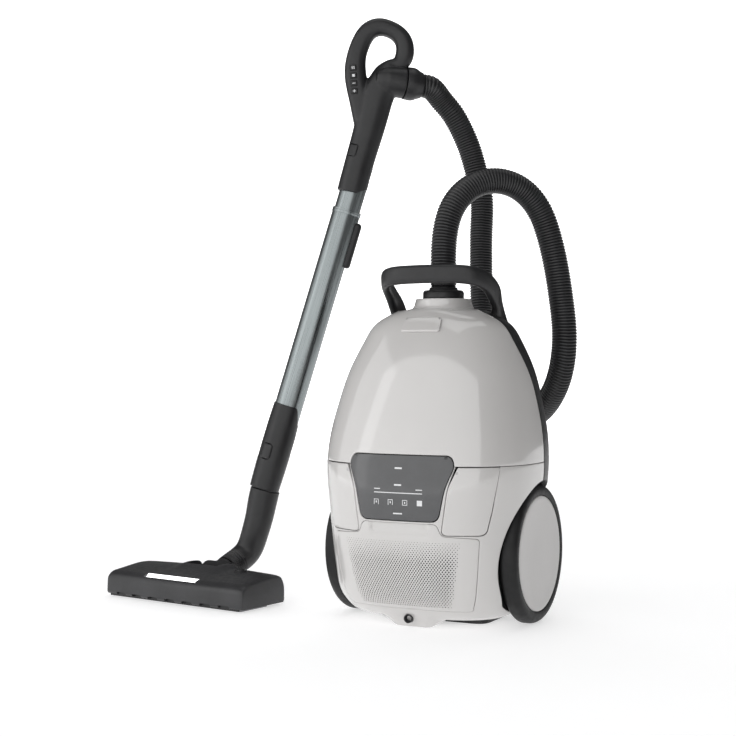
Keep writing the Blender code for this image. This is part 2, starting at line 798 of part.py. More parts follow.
def build_hose():
    """The hose, from the connector's top to the outer end of the cuff."""
    cuff_end = Vector(CUFF_CENTRE) + Vector(CUFF_AXIS).normalized() * (CUFF_START + CUFF_LENGTH + CLEAR)
    start = (0.0, INLET_Y, collar_top() + 0.0005 + CONNECTOR_HEIGHT + CLEAR)
    route = smooth_route((start,) + HOSE_ROUTE[1:-1] + (tuple(cuff_end),), HOSE_SPACING)
    lead = Vector(CUFF_AXIS).normalized() * 0.012
    route = [start, (start[0], start[1], start[2] + 0.012)] + route[1:-1] + [
        tuple(cuff_end + lead), tuple(cuff_end),
    ]
    return tube("hose", route, HOSE_DIAMETER / 2, HOSE_BLACK, 3)


# --- Carrying handle -------------------------------------------------------------------------------------
def build_carry_handle():
    """A U-shaped strap from the chassis shoulders round the front of the hose."""
    foot_z = height(0.962)
    half = [
        ((0.0735, 0.0135, foot_z + 0.0005), (0.25, 0.0, -0.97), 0.0105, 0.0120),
        ((0.0765, 0.0085, foot_z + 0.018), (0.97, 0.0, 0.25), 0.0065, 0.0120),
        ((0.0785, -0.0060, foot_z + 0.036), (0.97, -0.2, 0.1), 0.0065, 0.0122),
        ((0.0770, -0.0260, foot_z + 0.051), (0.93, -0.35, 0.0), 0.0068, 0.0125),
        ((0.0685, -0.0455, foot_z + 0.060), (0.72, -0.69, 0.0), 0.0070, 0.0127),
        ((0.0510, -0.0565, foot_z + 0.0635), (0.36, -0.93, 0.0), 0.0072, 0.0128),
        ((0.0260, -0.0605, foot_z + 0.0645), (0.10, -0.99, 0.0), 0.0073, 0.0128),
        ((0.0000, -0.0612, foot_z + 0.0648), (0.0, -1.0, 0.0), 0.0073, 0.0128),
    ]
    rows = half + [((-c[0], c[1], c[2]), (-s[0], s[1], s[2]), a, b) for c, s, a, b in half[-2::-1]]
    stations = []
    for i, (centre, side, side_half, up_half) in enumerate(rows):
        before = Vector(rows[max(i - 1, 0)][0])
        after = Vector(rows[min(i + 1, len(rows) - 1)][0])
        run = (after - before).normalized()
        across = Vector(side)
        across = (across - run * across.dot(run)).normalized()
        up = run.cross(across).normalized()
        stations.append((centre, across, up, side_half, up_half, 3.0))
    strap = sweep("carry_handle", stations, BLACK, 20)
    smooth(cut(strap, envelope_solid("cut", 1.5 * CLEAR)))


# --- Wheels, caster, foot --------------------------------------------------------------------------------
def axle_frame(side, z=WHEEL_RADIUS):
    """Z of this frame points out of the canister along the wheels' axis."""
    return Matrix.Translation((0, 0, z)) @ Matrix.Rotation(side * math.pi / 2, 4, "Y")


def build_wheels():
    for side, label in ((-1, "left"), (1, "right")):
        tyre = [
            (HUB_RADIUS + CLEAR, WHEEL_OUTER_X - 0.001),
            (WHEEL_RADIUS - 0.006, WHEEL_OUTER_X),
            (WHEEL_RADIUS - 0.0015, WHEEL_OUTER_X - 0.003),
            (WHEEL_RADIUS, WHEEL_OUTER_X - 0.008),
            (WHEEL_RADIUS, WHEEL_INNER_X + 0.003),
            (WHEEL_RADIUS - 0.003, WHEEL_INNER_X),
            (HUB_RADIUS + CLEAR, WHEEL_INNER_X),
        ]
        piece = turned("wheel_tyre_" + label, tyre, RUBBER, axle_frame(side), 40)
        smooth(set_origin(piece, (side * WHEEL_OUTER_X, 0, WHEEL_RADIUS)))
        hub = [
            (0.0, WHEEL_OUTER_X - 0.0035),
            (0.030, WHEEL_OUTER_X - 0.0032),
            (0.060, WHEEL_OUTER_X - 0.0022),
            (HUB_RADIUS - 0.002, WHEEL_OUTER_X - 0.0010),
            (HUB_RADIUS, WHEEL_OUTER_X - 0.0030),
            (HUB_RADIUS, WHEEL_INNER_X + 0.002),
            (HUB_RADIUS - 0.003, WHEEL_INNER_X + 0.002),
            (HUB_RADIUS - 0.003, WHEEL_OUTER_X - 0.0075),
            (AXLE_RADIUS + 0.005, WHEEL_OUTER_X - 0.0075),
            (AXLE_RADIUS + 0.005, WHEEL_INNER_X + 0.001),
            (AXLE_RADIUS + CLEAR, WHEEL_INNER_X + 0.001),
            (AXLE_RADIUS + CLEAR, WHEEL_OUTER_X - 0.0065),
            (0.0, WHEEL_OUTER_X - 0.0065),
        ]
        piece = turned("wheel_hub_" + label, hub, WHITE, axle_frame(side), 32)
        smooth(set_origin(piece, (side * WHEEL_OUTER_X, 0, WHEEL_RADIUS)))
        start = (side * (WELL_X - WALL - 0.012), 0, WHEEL_RADIUS)
        end = (side * (WHEEL_OUTER_X - 0.0068), 0, WHEEL_RADIUS)
        smooth(cylinder("wheel_axle_" + label, start, end, AXLE_RADIUS - 0.0001, STEEL, segments=20))


def build_caster():
    """Swivelling guide wheel on the underside, which faces backwards while the canister is parked."""
    top = envelope(share_of(CASTER_Z - CASTER_PLATE))[2] + 0.001
    plate = cylinder(
        "caster_fork", (0, top, CASTER_Z), (0, top + 0.005, CASTER_Z), CASTER_PLATE, BLACK, segments=28
    )
    half = CASTER_WIDTH / 2
    axle_y = top + 0.005 + 0.0015 + CASTER_RADIUS
    axle_z = CASTER_Z - CASTER_TRAIL
    for side in (-1, 1):
        inner = side * (half + 0.0008)
        outer = side * (half + 0.0038)
        cheek = box(
            "cheek", (min(inner, outer), top + 0.003, axle_z - 0.006),
            (max(inner, outer), axle_y + 0.006, axle_z + 0.013),
            BLACK, bevel=0.001,
        )
        plate = join(plate, cheek)
    plate = cut(plate, cutter_cylinder((-0.03, axle_y, axle_z), (0.03, axle_y, axle_z), 0.0026, 16))
    smooth(set_origin(plate, (0, top, CASTER_Z)))
    roll = [
        (0.0030, half), (CASTER_RADIUS - 0.002, half), (CASTER_RADIUS, half - 0.002),
        (CASTER_RADIUS, -half + 0.002), (CASTER_RADIUS - 0.002, -half), (0.0030, -half),
    ]
    frame = Matrix.Translation((0, axle_y, axle_z)) @ Matrix.Rotation(math.pi / 2, 4, "Y")
    smooth(set_origin(turned("caster_wheel", roll, RUBBER, frame, 24), (0, axle_y, axle_z)))
    pin = half + 0.0040
    smooth(cylinder("caster_pin", (-pin, axle_y, axle_z), (pin, axle_y, axle_z), 0.0023, STEEL, segments=12))


def build_foot():
    points = [
        (-FOOT_HALF_WIDTH, -FOOT_FRONT), (FOOT_HALF_WIDTH, -FOOT_FRONT),
        (FOOT_HALF_WIDTH, FOOT_REAR), (-FOOT_HALF_WIDTH, FOOT_REAR),
    ]
    half = (BODY_BASE - CLEAR) / 2
    outline("standing_foot", rounded(points, 0.02, 5), half, BLACK, Matrix.Translation((0, 0, half)))


# --- Inside the canister ---------------------------------------------------------------------------------
MOTOR_RADIUS = 0.050
MOTOR_X = -0.054
INSIDE_Y = -0.012
MOTOR_LOW = 0.060
MOTOR_HIGH = 0.170
REEL_RADIUS = 0.060
REEL_X = 0.040
REEL_WIDTH = 0.050
REEL_Z = 0.105
BULKHEAD_Z = LID_Z + 0.002


def build_bulkhead():
    """The wall between the dust bag and the motor, with the mouth of the motor filter."""
    plate = envelope_solid("bulkhead", -WALL - 0.0012)
    plate = common(plate, half_space((None, None, BULKHEAD_Z), (None, None, BULKHEAD_Z + 0.004)))
    plate = cut(plate, cutter_box((-0.040, -0.045, BULKHEAD_Z - 0.01), (0.040, 0.020, BULKHEAD_Z + 0.01)))
    show_part(plate, "bulkhead", GREY)
    filter_low = BULKHEAD_Z + 0.0045
    box(
        "motor_filter", (-0.050, -0.055, filter_low), (0.050, 0.030, filter_low + 0.012), FILTER,
        bevel=0.003,
    )


def build_motor():
    frame = Matrix.Translation((MOTOR_X, INSIDE_Y, 0))
    can = [
        (0.020, MOTOR_HIGH), (MOTOR_RADIUS - 0.004, MOTOR_HIGH), (MOTOR_RADIUS, MOTOR_HIGH - 0.006),
        (MOTOR_RADIUS, MOTOR_HIGH - 0.040), (MOTOR_RADIUS - 0.010, MOTOR_HIGH - 0.046),
        (MOTOR_RADIUS - 0.010, MOTOR_LOW), (0.0052, MOTOR_LOW), (0.0052, MOTOR_LOW + 0.004),
        (MOTOR_RADIUS - 0.013, MOTOR_LOW + 0.004), (MOTOR_RADIUS - 0.013, MOTOR_HIGH - 0.047),
        (MOTOR_RADIUS - 0.003, MOTOR_HIGH - 0.038), (MOTOR_RADIUS - 0.003, MOTOR_HIGH - 0.003),
        (0.020, MOTOR_HIGH - 0.003),
    ]
    smooth(turned("motor_housing", can, GREY, frame, 24))
    low = MOTOR_HIGH - 0.034
    rotor = [
        (0.0, MOTOR_HIGH - 0.006), (0.012, MOTOR_HIGH - 0.006), (0.014, low + 0.016),
        (MOTOR_RADIUS - 0.007, low + 0.012), (MOTOR_RADIUS - 0.007, low), (0.012, low),
        (0.012, MOTOR_LOW + 0.060),
        (0.024, MOTOR_LOW + 0.056), (0.024, MOTOR_LOW + 0.012), (0.0050 - CLEAR, MOTOR_LOW + 0.010),
        (0.0050 - CLEAR, MOTOR_LOW - 0.006), (0.0, MOTOR_LOW - 0.006),
    ]
    smooth(set_origin(turned("fan_rotor", rotor, STEEL, frame, 20), (MOTOR_X, INSIDE_Y, MOTOR_HIGH)))


def build_reel():
    frame = Matrix.Translation((REEL_X, INSIDE_Y, REEL_Z)) @ Matrix.Rotation(math.pi / 2, 4, "Y")
    drum = [
        (0.008, REEL_WIDTH), (REEL_RADIUS, REEL_WIDTH), (REEL_RADIUS, REEL_WIDTH - 0.002),
        (0.026, REEL_WIDTH - 0.002),
        (0.026, 0.002), (REEL_RADIUS, 0.002), (REEL_RADIUS, 0.0), (0.008, 0.0),
    ]
    smooth(set_origin(turned("cord_reel", drum, GREY, frame, 28), (REEL_X, INSIDE_Y, REEL_Z)))


def build_inside():
    build_bulkhead()
    build_motor()
    build_reel()
    y = front_y(0.0, 0.19) + WALL + 0.012
    box("circuit_board", (-0.045, y, 0.155), (0.045, y + 0.0016, 0.215), BOARD)
    y = front_y(0.0, COVER_BOTTOM) + WALL + 0.012
    box("exhaust_filter", (-0.070, y, 0.040), (0.070, y + 0.016, 0.132), FILTER, bevel=0.002)
    holder_top = height(1.0) - COLLAR_PIPE_LENGTH - 0.001
    holder = box(
        "bag_holder", (-0.045, -0.040, holder_top - 0.004), (0.045, 0.032, holder_top), GREY, bevel=0.001
    )
    cut(
        holder,
        cutter_cylinder((0, INLET_Y, holder_top - 0.01), (0, INLET_Y, holder_top + 0.01), 0.0180, 28),
    )
    build_bag(BULKHEAD_Z + 0.022, holder_top - 0.005)


def build_bag(low, high):
    """The dust bag: a soft crowned block under the bag holder."""
    centre = Vector((0.0, -0.008, (low + high) / 2))
    bm = bmesh.new()
    bmesh.ops.create_cube(bm, size=2.0)
    bmesh.ops.subdivide_edges(bm, edges=bm.edges[:], cuts=1, use_grid_fill=True)
    for vert in bm.verts:
        taper = 1.0 - 0.18 * max(vert.co.z, 0.0)
        vert.co = Vector(
            (vert.co.x * 0.094 * taper, vert.co.y * 0.068 * taper, vert.co.z * (high - low) / 2)
        )
    bmesh.ops.translate(bm, vec=centre, verts=bm.verts)
    bag = finish_bmesh(bm, "dust_bag", PAPER)
    soften = bag.modifiers.new("soften", "SUBSURF")
    soften.levels = 2
    soften.render_levels = 2
    smooth(bake(bag), 60)


# --- Wand ------------------------------------------------------------------------------------------------
def wand_frame():
    """X across the wand in its own plane, Y away from the viewer, Z up along the wand."""
    plane = math.radians(WAND_PLANE_DEG)
    lean = math.radians(WAND_LEAN_DEG)
    side = Vector((math.cos(plane), math.sin(plane), 0.0))
    back = Vector((-math.sin(plane), math.cos(plane), 0.0))
    up = Vector((0, 0, 1))
    along = up * math.cos(lean) + side * math.sin(lean)
    across = side * math.cos(lean) - up * math.sin(lean)
    frame = Matrix.Identity(4)
    for column, axis in enumerate((across, back, along)):
        for row in range(3):
            frame[row][column] = axis[row]
    return Matrix.Translation(WAND_BASE) @ frame


def wand_point(x, y, z):
    return wand_frame() @ Vector((x, y, z))


def ring_profile(inner, outer, low, high):
    return [(inner, high), (outer, high), (outer, low), (inner, low)]


def build_tubes():
    frame = wand_frame()
    inner = ring_profile(INNER_RADIUS - TUBE_WALL, INNER_RADIUS, INNER_BOTTOM, INNER_TOP)
    smooth(turned("inner_tube", inner, METAL, frame, 28))
    outer = ring_profile(INNER_RADIUS + CLEAR, TUBE_RADIUS, TUBE_BOTTOM, TUBE_TOP)
    smooth(set_origin(turned("outer_tube", outer, METAL, frame, 28), wand_point(0, 0, TUBE_TOP)))
    collar = ring_profile(TUBE_RADIUS + CLEAR, TUBE_RADIUS + 0.0013, TUBE_TOP - 0.007, TUBE_TOP)
    smooth(set_origin(turned("tube_collar", collar, BLACK, frame, 28), wand_point(0, 0, TUBE_TOP)))


def build_telescope_pad():
    """The thumb pad that releases the telescope, on the rear side of the outer tube."""
    frame = wand_frame()
    low = (TUBE_RADIUS * 0.35, -0.011, PAD_BOTTOM)
    high = (TUBE_RADIUS + 0.0075, 0.011, PAD_TOP)
    pad = box("telescope_slider", low, high, BLACK, frame, bevel=0.004, segments=3)
    core = cutter_cylinder(
        wand_point(0, 0, PAD_BOTTOM - 0.02), wand_point(0, 0, PAD_TOP + 0.02), TUBE_RADIUS + CLEAR, 48
    )
    smooth(set_origin(cut(pad, core), wand_point(TUBE_RADIUS, 0, PAD_BOTTOM)))


def build_sleeve():
    """The lower sleeve, which holds the tube above and the nozzle's neck below, with its release button."""
    bore = TUBE_RADIUS + CLEAR
    profile = [
        (bore, SLEEVE_TOP), (SLEEVE_RADIUS, SLEEVE_TOP), (SLEEVE_RADIUS + 0.0004, NECK_TOP + 0.06),
        (SLEEVE_RADIUS, NECK_TOP + 0.0004), (0.0165, NECK_TOP + 0.0004), (0.0165, TUBE_BOTTOM - 0.0006),
        (bore, TUBE_BOTTOM - 0.0006),
    ]
    sleeve = turned("wand_sleeve", profile, BLACK, wand_frame(), 28)
    low, high = NECK_TOP + 0.0465, NECK_TOP + 0.0715
    return release_button("sleeve_button", sleeve, SLEEVE_BUTTON_TURN_DEG, (low, high), 0.0238, 0.0160)


def button_frame(turn_deg):
    """The wand's frame turned about its own axis, so that a button is pressed along Y."""
    return wand_frame() @ Matrix.Rotation(math.radians(turn_deg), 4, "Z")


def release_button(name, holder, turn_deg, span, outer, inner):
    """Cuts a pocket in the holder between two heights and puts a button in it. Returns the holder."""
    frame = button_frame(turn_deg)
    low, high = span
    half = BUTTON_HALF + 0.0005
    pocket = cutter_box((-half, -0.05, low - 0.0005), (half, -inner, high + 0.0005), frame)
    holder = smooth(cut(holder, pocket))
    face = -inner - BUTTON_TRAVEL - CLEAR
    button = box(name, (-BUTTON_HALF, -outer, low), (BUTTON_HALF, face, high), BLACK, frame, bevel=0.002)
    set_origin(button, frame @ Vector((0.0, -outer, (low + high) / 2)))
    return holder


def grip_plate():
    """The loop of the grip, as a flat outline with its finger opening."""
    outer = (
        (-0.022, 0.685), (-0.0285, 0.703), (-0.045, 0.7335), (-0.0565, 0.753), (-0.0655, 0.779),
        (-0.0682, 0.804),
        (-0.0665, 0.826), (-0.0590, 0.851), (-0.0410, 0.8635), (-0.0200, 0.8660), (0.0040, 0.8615),
        (0.0190, 0.8510),
        (0.0280, 0.8340), (0.0290, 0.8200), (0.0230, 0.8110), (0.0180, 0.8010), (0.0205, 0.7750),
        (0.0215, 0.7450),
        (0.0200, 0.7090), (0.0185, 0.6850),
    )
    hole = (
        (-0.0345, 0.8385), (-0.0150, 0.8415), (-0.0040, 0.8370), (0.0020, 0.8250), (0.0020, 0.8130),
        (-0.0125, 0.8030),
        (-0.0220, 0.7905), (-0.0265, 0.7755), (-0.0285, 0.7640), (-0.0360, 0.7790), (-0.0390, 0.8000),
        (-0.0385, 0.8200),
    )
    flip = Matrix.Rotation(math.pi / 2, 4, "X")
    frame = wand_frame() @ flip
    return outline("grip_handle", outer, GRIP_DEPTH / 2, BLACK, frame, True, hole, 3)


def build_grip():
    rows = (
        (GRIP_BOTTOM, -0.0015, 0.0218, 0.0225), (0.625, -0.0025, 0.0218, 0.0225),
        (0.660, -0.0030, 0.0223, 0.0220),
        (0.695, -0.0035, 0.0232, 0.0210), (0.725, -0.0050, 0.0245, 0.0200), (0.752, -0.0060, 0.0250, 0.0200),
        (0.775, -0.0020, 0.0225, 0.0205), (0.797, 0.0020, 0.0165, 0.0170),
    )
    frame = wand_frame()
    across, back = frame.col[0].to_3d(), frame.col[1].to_3d()
    stations = [(wand_point(x, 0, z), across, back, half, depth, 2.2) for z, x, half, depth in rows]
    barrel = sweep("barrel", stations, BLACK, 20)
    grip = join(grip_plate(), barrel, elbow())
    start, end = wand_point(0, 0, GRIP_BOTTOM - 0.01), wand_point(0, 0, INNER_TOP + 0.001)
    grip = cut(grip, cutter_cylinder(start, end, INNER_RADIUS + CLEAR, 28))
    grip = cut_grip_buttons(grip)
    grip.name = "grip_handle"
    smooth(set_origin(grip, CUFF_CENTRE))


def elbow():
    """The grip's round socket for the cuff of the hose."""
    centre = Vector(CUFF_CENTRE)
    axis = Vector(CUFF_AXIS).normalized()
    return cylinder(
        "elbow", centre - axis * 0.034, centre, CUFF_RADIUS - 0.0025, BLACK, CUFF_RADIUS - 0.001, 28
    )


def press_frame(z):
    """At a grip key: X is the way that the key is pressed, and Z runs along the stem."""
    press = Vector((0.0, 1.0, 0.0))
    along = Vector((KEY_ROW_RUN[0], 0.0, KEY_ROW_RUN[1]))
    frame = Matrix.Identity(4)
    for column, axis in enumerate((press, along.cross(press), along)):
        for row in range(3):
            frame[row][column] = axis[row]
    place = Vector((KEY_ROW[0], -GRIP_DEPTH / 2, KEY_ROW[1])) + along * z
    return wand_frame() @ Matrix.Translation(place) @ frame


def cut_grip_buttons(grip):
    """Four keys in a row on the face of the stem, and the release button on the barrel."""
    for i in range(4):
        frame = press_frame(KEY_SPACING * i)
        across, along = KEY_ACROSS + 0.0004, KEY_ALONG + 0.0004
        grip = cut(grip, cutter_box((-0.02, -across, -along), (KEY_POCKET, across, along), frame))
        low = (-KEY_PROUD, -KEY_ACROSS, -KEY_ALONG)
        high = (KEY_POCKET - BUTTON_TRAVEL - CLEAR, KEY_ACROSS, KEY_ALONG)
        key = box("grip_key_%d" % (i + 1), low, high, DARK_PANEL, frame, bevel=0.0007)
        set_origin(key, frame.to_translation())
    return release_button(
        "grip_release_button", grip, GRIP_BUTTON_TURN_DEG, (0.6475, 0.6665), 0.0250, 0.0185
    )


def build_cuff():
    """The turning cuff at the wand end of the hose."""
    axis = Vector(CUFF_AXIS).normalized()
    turn = axis.to_track_quat("Z", "Y").to_matrix().to_4x4()
    frame = Matrix.Translation(Vector(CUFF_CENTRE)) @ turn
    end = CUFF_START + CUFF_LENGTH
    profile = [
        (0.0150, end), (HOSE_DIAMETER / 2 + 0.001, end), (CUFF_RADIUS - 0.003, end - 0.008),
        (CUFF_RADIUS, CUFF_START + 0.010), (CUFF_RADIUS - 0.001, CUFF_START), (0.0150, CUFF_START),
    ]
    smooth(turned("hose_cuff", profile, BLACK, frame, 28))


# --- Nozzle ----------------------------------------------------------------------------------------------
def nozzle_frame():
    """X to the nozzle's right, Y to its rear, Z up, on the floor under its middle."""
    turn = Matrix.Rotation(math.radians(NOZZLE_YAW_DEG), 4, "Z")
    return Matrix.Translation((NOZZLE_CENTRE[0], NOZZLE_CENTRE[1], 0.0)) @ turn


def nozzle_point(x, y, z):
    return nozzle_frame() @ Vector((x, y, z))


def nozzle_block():
    """The outer form of the nozzle: low at the front, higher at the rear, with a hump in the middle."""
    rows = (
        (-1.000, 0.0300, 0.040, 0.044), (-0.985, 0.0345, 0.042, 0.047), (-0.930, 0.0362, 0.044, 0.0490),
        (-0.500, 0.0370, 0.046, 0.0525), (-0.250, 0.0385, 0.049, 0.0545), (0.250, 0.0385, 0.049, 0.0545),
        (0.500, 0.0370, 0.046, 0.0525), (0.930, 0.0362, 0.044, 0.0490), (0.985, 0.0345, 0.042, 0.047),
        (1.000, 0.0300, 0.040, 0.044),
    )
    bm = bmesh.new()
    rings = []
    for share, front_top, rear_top, depth in rows:
        x = share * NOZZLE_HALF_WIDTH
        front = -depth * NOZZLE_HALF_DEPTH / 0.0545
        rear = depth * NOZZLE_HALF_DEPTH / 0.0545
        section = (
            (front + 0.003, NOZZLE_BOTTOM), (front, NOZZLE_BOTTOM + 0.004),
            (front + 0.002, front_top - 0.010),
            (front + 0.009, front_top - 0.001), (front + 0.020, front_top + 0.002),
            (0.0, (front_top + rear_top) / 2 + 0.001),
            (rear - 0.020, rear_top), (rear - 0.006, rear_top - 0.003), (rear, rear_top - 0.012),
            (rear, NOZZLE_BOTTOM + 0.004), (rear - 0.003, NOZZLE_BOTTOM),
        )
        rings.append([bm.verts.new(nozzle_point(x, y, z)) for y, z in section])
    loft_faces(bm, rings)
    return finish_bmesh(bm, "nozzle_body", BLACK)


def build_nozzle_body():
    frame = nozzle_frame()
    body = nozzle_block()
    rear = YOKE_BACK - YOKE_RADIUS - 0.010
    inner_x = NOZZLE_HALF_WIDTH - NOZZLE_WALL - 0.002
    front = -NOZZLE_HALF_DEPTH + NOZZLE_WALL + 0.007
    body = cut(
        body,
        cutter_box((-inner_x, front, -0.01), (inner_x, rear, NOZZLE_FRONT_TOP - NOZZLE_WALL - 0.001), frame),
    )
    slot = YOKE_HALF + 0.0008
    body = cut(body, cutter_box((-slot, rear + 0.003, 0.0085), (slot, 0.2, 0.2), frame))
    axle = YOKE_HALF + 0.0050
    start, end = nozzle_point(-axle, YOKE_BACK, YOKE_Z), nozzle_point(axle, YOKE_BACK, YOKE_Z)
    body = cut(body, cutter_cylinder(start, end, 0.0045 + CLEAR, 16))
    body = cut(body, notch_cutter(frame), lens_pocket(), *wheel_pockets(frame))
    start, end = nozzle_point(0.072, 0.022, 0.030), nozzle_point(0.072, 0.022, 0.08)
    body = cut(body, cutter_cylinder(start, end, 0.0072, 24))
    body.name = "nozzle_body"
    smooth(set_origin(body, nozzle_point(0, YOKE_BACK, YOKE_Z)))


def notch_cutter(frame):
    """Openings for coarse dust along the lower front edge."""
    bm = bmesh.new()
    for i in range(7):
        x = (i - 3) * 0.034
        made = bmesh.ops.create_cube(bm, size=1.0)
        place = Matrix.Translation((x, -NOZZLE_HALF_DEPTH, NOZZLE_BOTTOM)) @ Matrix.Diagonal(
            (0.013, 0.03, 0.009, 1)
        )
        bmesh.ops.transform(bm, matrix=frame @ place, verts=made["verts"])
    return finish_bmesh(bm, "cut", None, True)


LENS_HALF = 0.051
LENS_Y = -0.0370
LENS_Z = 0.0375


def lens_frame():
    return nozzle_frame() @ Matrix.Translation((-0.004, LENS_Y, LENS_Z)) @ Matrix.Rotation(
        math.radians(14), 4, "X"
    )


def lens_pocket():
    return cutter_box(
        (-LENS_HALF - 0.0005, -0.0048, -0.0022), (LENS_HALF + 0.0005, 0.0048, 0.02), lens_frame()
    )


def wheel_pockets(frame):
    made = []
    for side in (-1, 1):
        x = side * 0.098
        y = NOZZLE_HALF_DEPTH - 0.017
        made.append(cutter_box((x - 0.0085, y - 0.0140, -0.01), (x + 0.0085, y + 0.0140, 0.0265), frame))
        start, end = nozzle_point(x - 0.0125, y, NOZZLE_WHEEL_RADIUS), nozzle_point(
            x + 0.0125, y, NOZZLE_WHEEL_RADIUS
        )
        made.append(cutter_cylinder(start, end, 0.0025, 12))
    return made


def build_nozzle_wheels():
    for side, label in ((-1, "left"), (1, "right")):
        x = side * 0.098
        y = NOZZLE_HALF_DEPTH - 0.017
        half = 0.0075
        profile = [
            (0.0, half + 0.004), (0.0022, half + 0.004), (0.0022, half), (NOZZLE_WHEEL_RADIUS - 0.001, half),
            (NOZZLE_WHEEL_RADIUS, half - 0.001), (NOZZLE_WHEEL_RADIUS, 0.001 - half),
            (NOZZLE_WHEEL_RADIUS - 0.001, -half), (0.0022, -half), (0.0022, -half - 0.004),
            (0.0, -half - 0.004),
        ]
        place = Matrix.Translation((x, y, NOZZLE_WHEEL_RADIUS)) @ Matrix.Rotation(math.pi / 2, 4, "Y")
        wheel = turned("nozzle_wheel_" + label, profile, RUBBER, nozzle_frame() @ place, 20)
        smooth(set_origin(wheel, nozzle_point(x, y, NOZZLE_WHEEL_RADIUS)))


def build_nozzle_inside():
    frame = nozzle_frame()
    inner_x = NOZZLE_HALF_WIDTH - NOZZLE_WALL - 0.0025
    front = -NOZZLE_HALF_DEPTH + NOZZLE_WALL + 0.0075
    rear = YOKE_BACK - YOKE_RADIUS - 0.0105
    sole = box("sole_plate", (-inner_x, front, 0.001), (inner_x, rear, 0.004), GREY, frame)
    mouth_low = (-BRUSH_HALF - 0.002, BRUSH_BACK - 0.0100, -0.01)
    mouth_high = (BRUSH_HALF + 0.002, BRUSH_BACK + 0.0100, 0.02)
    sole = cut(sole, cutter_box(mouth_low, mouth_high, frame))
    roll = [
        (0.0, BRUSH_HALF + 0.006), (0.004, BRUSH_HALF + 0.006), (0.004, BRUSH_HALF),
        (BRUSH_RADIUS, BRUSH_HALF),
        (BRUSH_RADIUS, -BRUSH_HALF), (0.006, -BRUSH_HALF), (0.006, -BRUSH_HALF - 0.014),
        (0.0, -BRUSH_HALF - 0.014),
    ]
    place = Matrix.Translation((0.002, BRUSH_BACK, BRUSH_Z)) @ Matrix.Rotation(math.pi / 2, 4, "Y")
    roll = turned("brush_roll", roll, BRISTLE, frame @ place, 24)
    smooth(set_origin(roll, nozzle_point(0, BRUSH_BACK, BRUSH_Z)))
    motor_y = 0.0005
    start, end = nozzle_point(-0.112, motor_y, 0.0200), nozzle_point(-0.040, motor_y, 0.0200)
    motor = cylinder("brush_motor", start, end, 0.0120, GREY, segments=28)
    start, end = nozzle_point(-0.1215, motor_y, 0.0200), nozzle_point(-0.110, motor_y, 0.0200)
    smooth(join(motor, cylinder("pulley", start, end, 0.0045, GREY, segments=20)))
    build_belt(motor_y)


def build_belt(motor_y):
    """The toothless drive belt round the motor's pulley and the end of the brush roll."""
    far = Vector((motor_y, 0.0200))
    near = Vector((BRUSH_BACK, BRUSH_Z))
    loops = []
    for extra in (0.0018, 0.0004):
        points = []
        for centre, radius, start in ((far, 0.0045, -90), (near, 0.0060, 90)):
            for k in range(9):
                angle = math.radians(start + 22.5 * k)
                reach = radius + extra
                points.append((centre.x + reach * math.cos(angle), centre.y + reach * math.sin(angle)))
        loops.append(points)
    turn = Matrix(((0, 0, 1, -0.1185), (1, 0, 0, 0), (0, 1, 0, 0), (0, 0, 0, 1)))
    outline("drive_belt", loops[0], 0.0028, RUBBER, nozzle_frame() @ turn, False, loops[1])


def build_lens_and_knob():
    low = (-LENS_HALF, -0.0043, -0.0019)
    high = (LENS_HALF, 0.0043, 0.0012)
    box("light_bar", low, high, LAMP, lens_frame(), bevel=0.0008)
    profile = [
        (0.0, 0.0495), (0.0050, 0.0495), (0.0062, 0.0480), (0.0068, 0.0335), (0.0, 0.0335),
    ]
    place = Matrix.Translation((0.072, 0.022, 0.0))
    knob = turned("mode_button", profile, BLACK, nozzle_frame() @ place, 24)
    smooth(set_origin(knob, nozzle_point(0.072, 0.022, 0.0495)))


def build_yoke():
    """The tilting barrel in the nozzle's slot, with the stub that the neck turns on."""
    start, end = nozzle_point(-YOKE_HALF, YOKE_BACK, YOKE_Z), nozzle_point(YOKE_HALF, YOKE_BACK, YOKE_Z)
    yoke = cylinder("swivel_yoke", start, end, YOKE_RADIUS, BLACK, segments=32)
    pin = YOKE_HALF + 0.0045
    start, end = nozzle_point(-pin, YOKE_BACK, YOKE_Z), nozzle_point(pin, YOKE_BACK, YOKE_Z)
    pins = cylinder("pins", start, end, 0.0045, BLACK, segments=16)
    arm = cylinder("arm", nozzle_point(0, YOKE_BACK, YOKE_Z), stub_end(), 0.0150, BLACK, 0.0185, 28)
    smooth(set_origin(join(yoke, pins, arm), stub_end()))


def stub_end():
    return nozzle_point(0, STUB_BACK, STUB_Z)


def build_neck():
    """The bent pipe from the yoke's stub up to the wand's sleeve."""
    axis = (stub_end() - nozzle_point(0, YOKE_BACK, YOKE_Z)).normalized()
    start = stub_end() + axis * 0.0006
    line = [
        start, start + axis * 0.016, wand_point(0.004, 0.0, 0.016), wand_point(0.0075, 0.0, 0.045),
        wand_point(0.0065, 0.0, 0.075), wand_point(0.0035, 0.0, 0.100), wand_point(0.002, 0.0, NECK_TOP),
    ]
    route = smooth_route([tuple(point) for point in line], 0.012)
    stations = []
    count = len(route)
    for i, point in enumerate(route):
        before = Vector(route[max(i - 1, 0)])
        after = Vector(route[min(i + 1, count - 1)])
        run = (after - before).normalized()
        if i == 0:
            run = axis
        if i == count - 1:
            run = wand_frame().col[2].to_3d()
        side = Vector((0.988, -0.156, 0.0))
        side = (side - run * side.dot(run)).normalized()
        share = i / (count - 1)
        radius = 0.0190 + 0.0030 * math.sin(math.pi * min(share * 1.15, 1.0)) + 0.0015 * share
        stations.append((point, side, run.cross(side), radius, radius, 2.0))
    neck = sweep("neck_pipe", stations, BLACK, 20)
    smooth(neck)


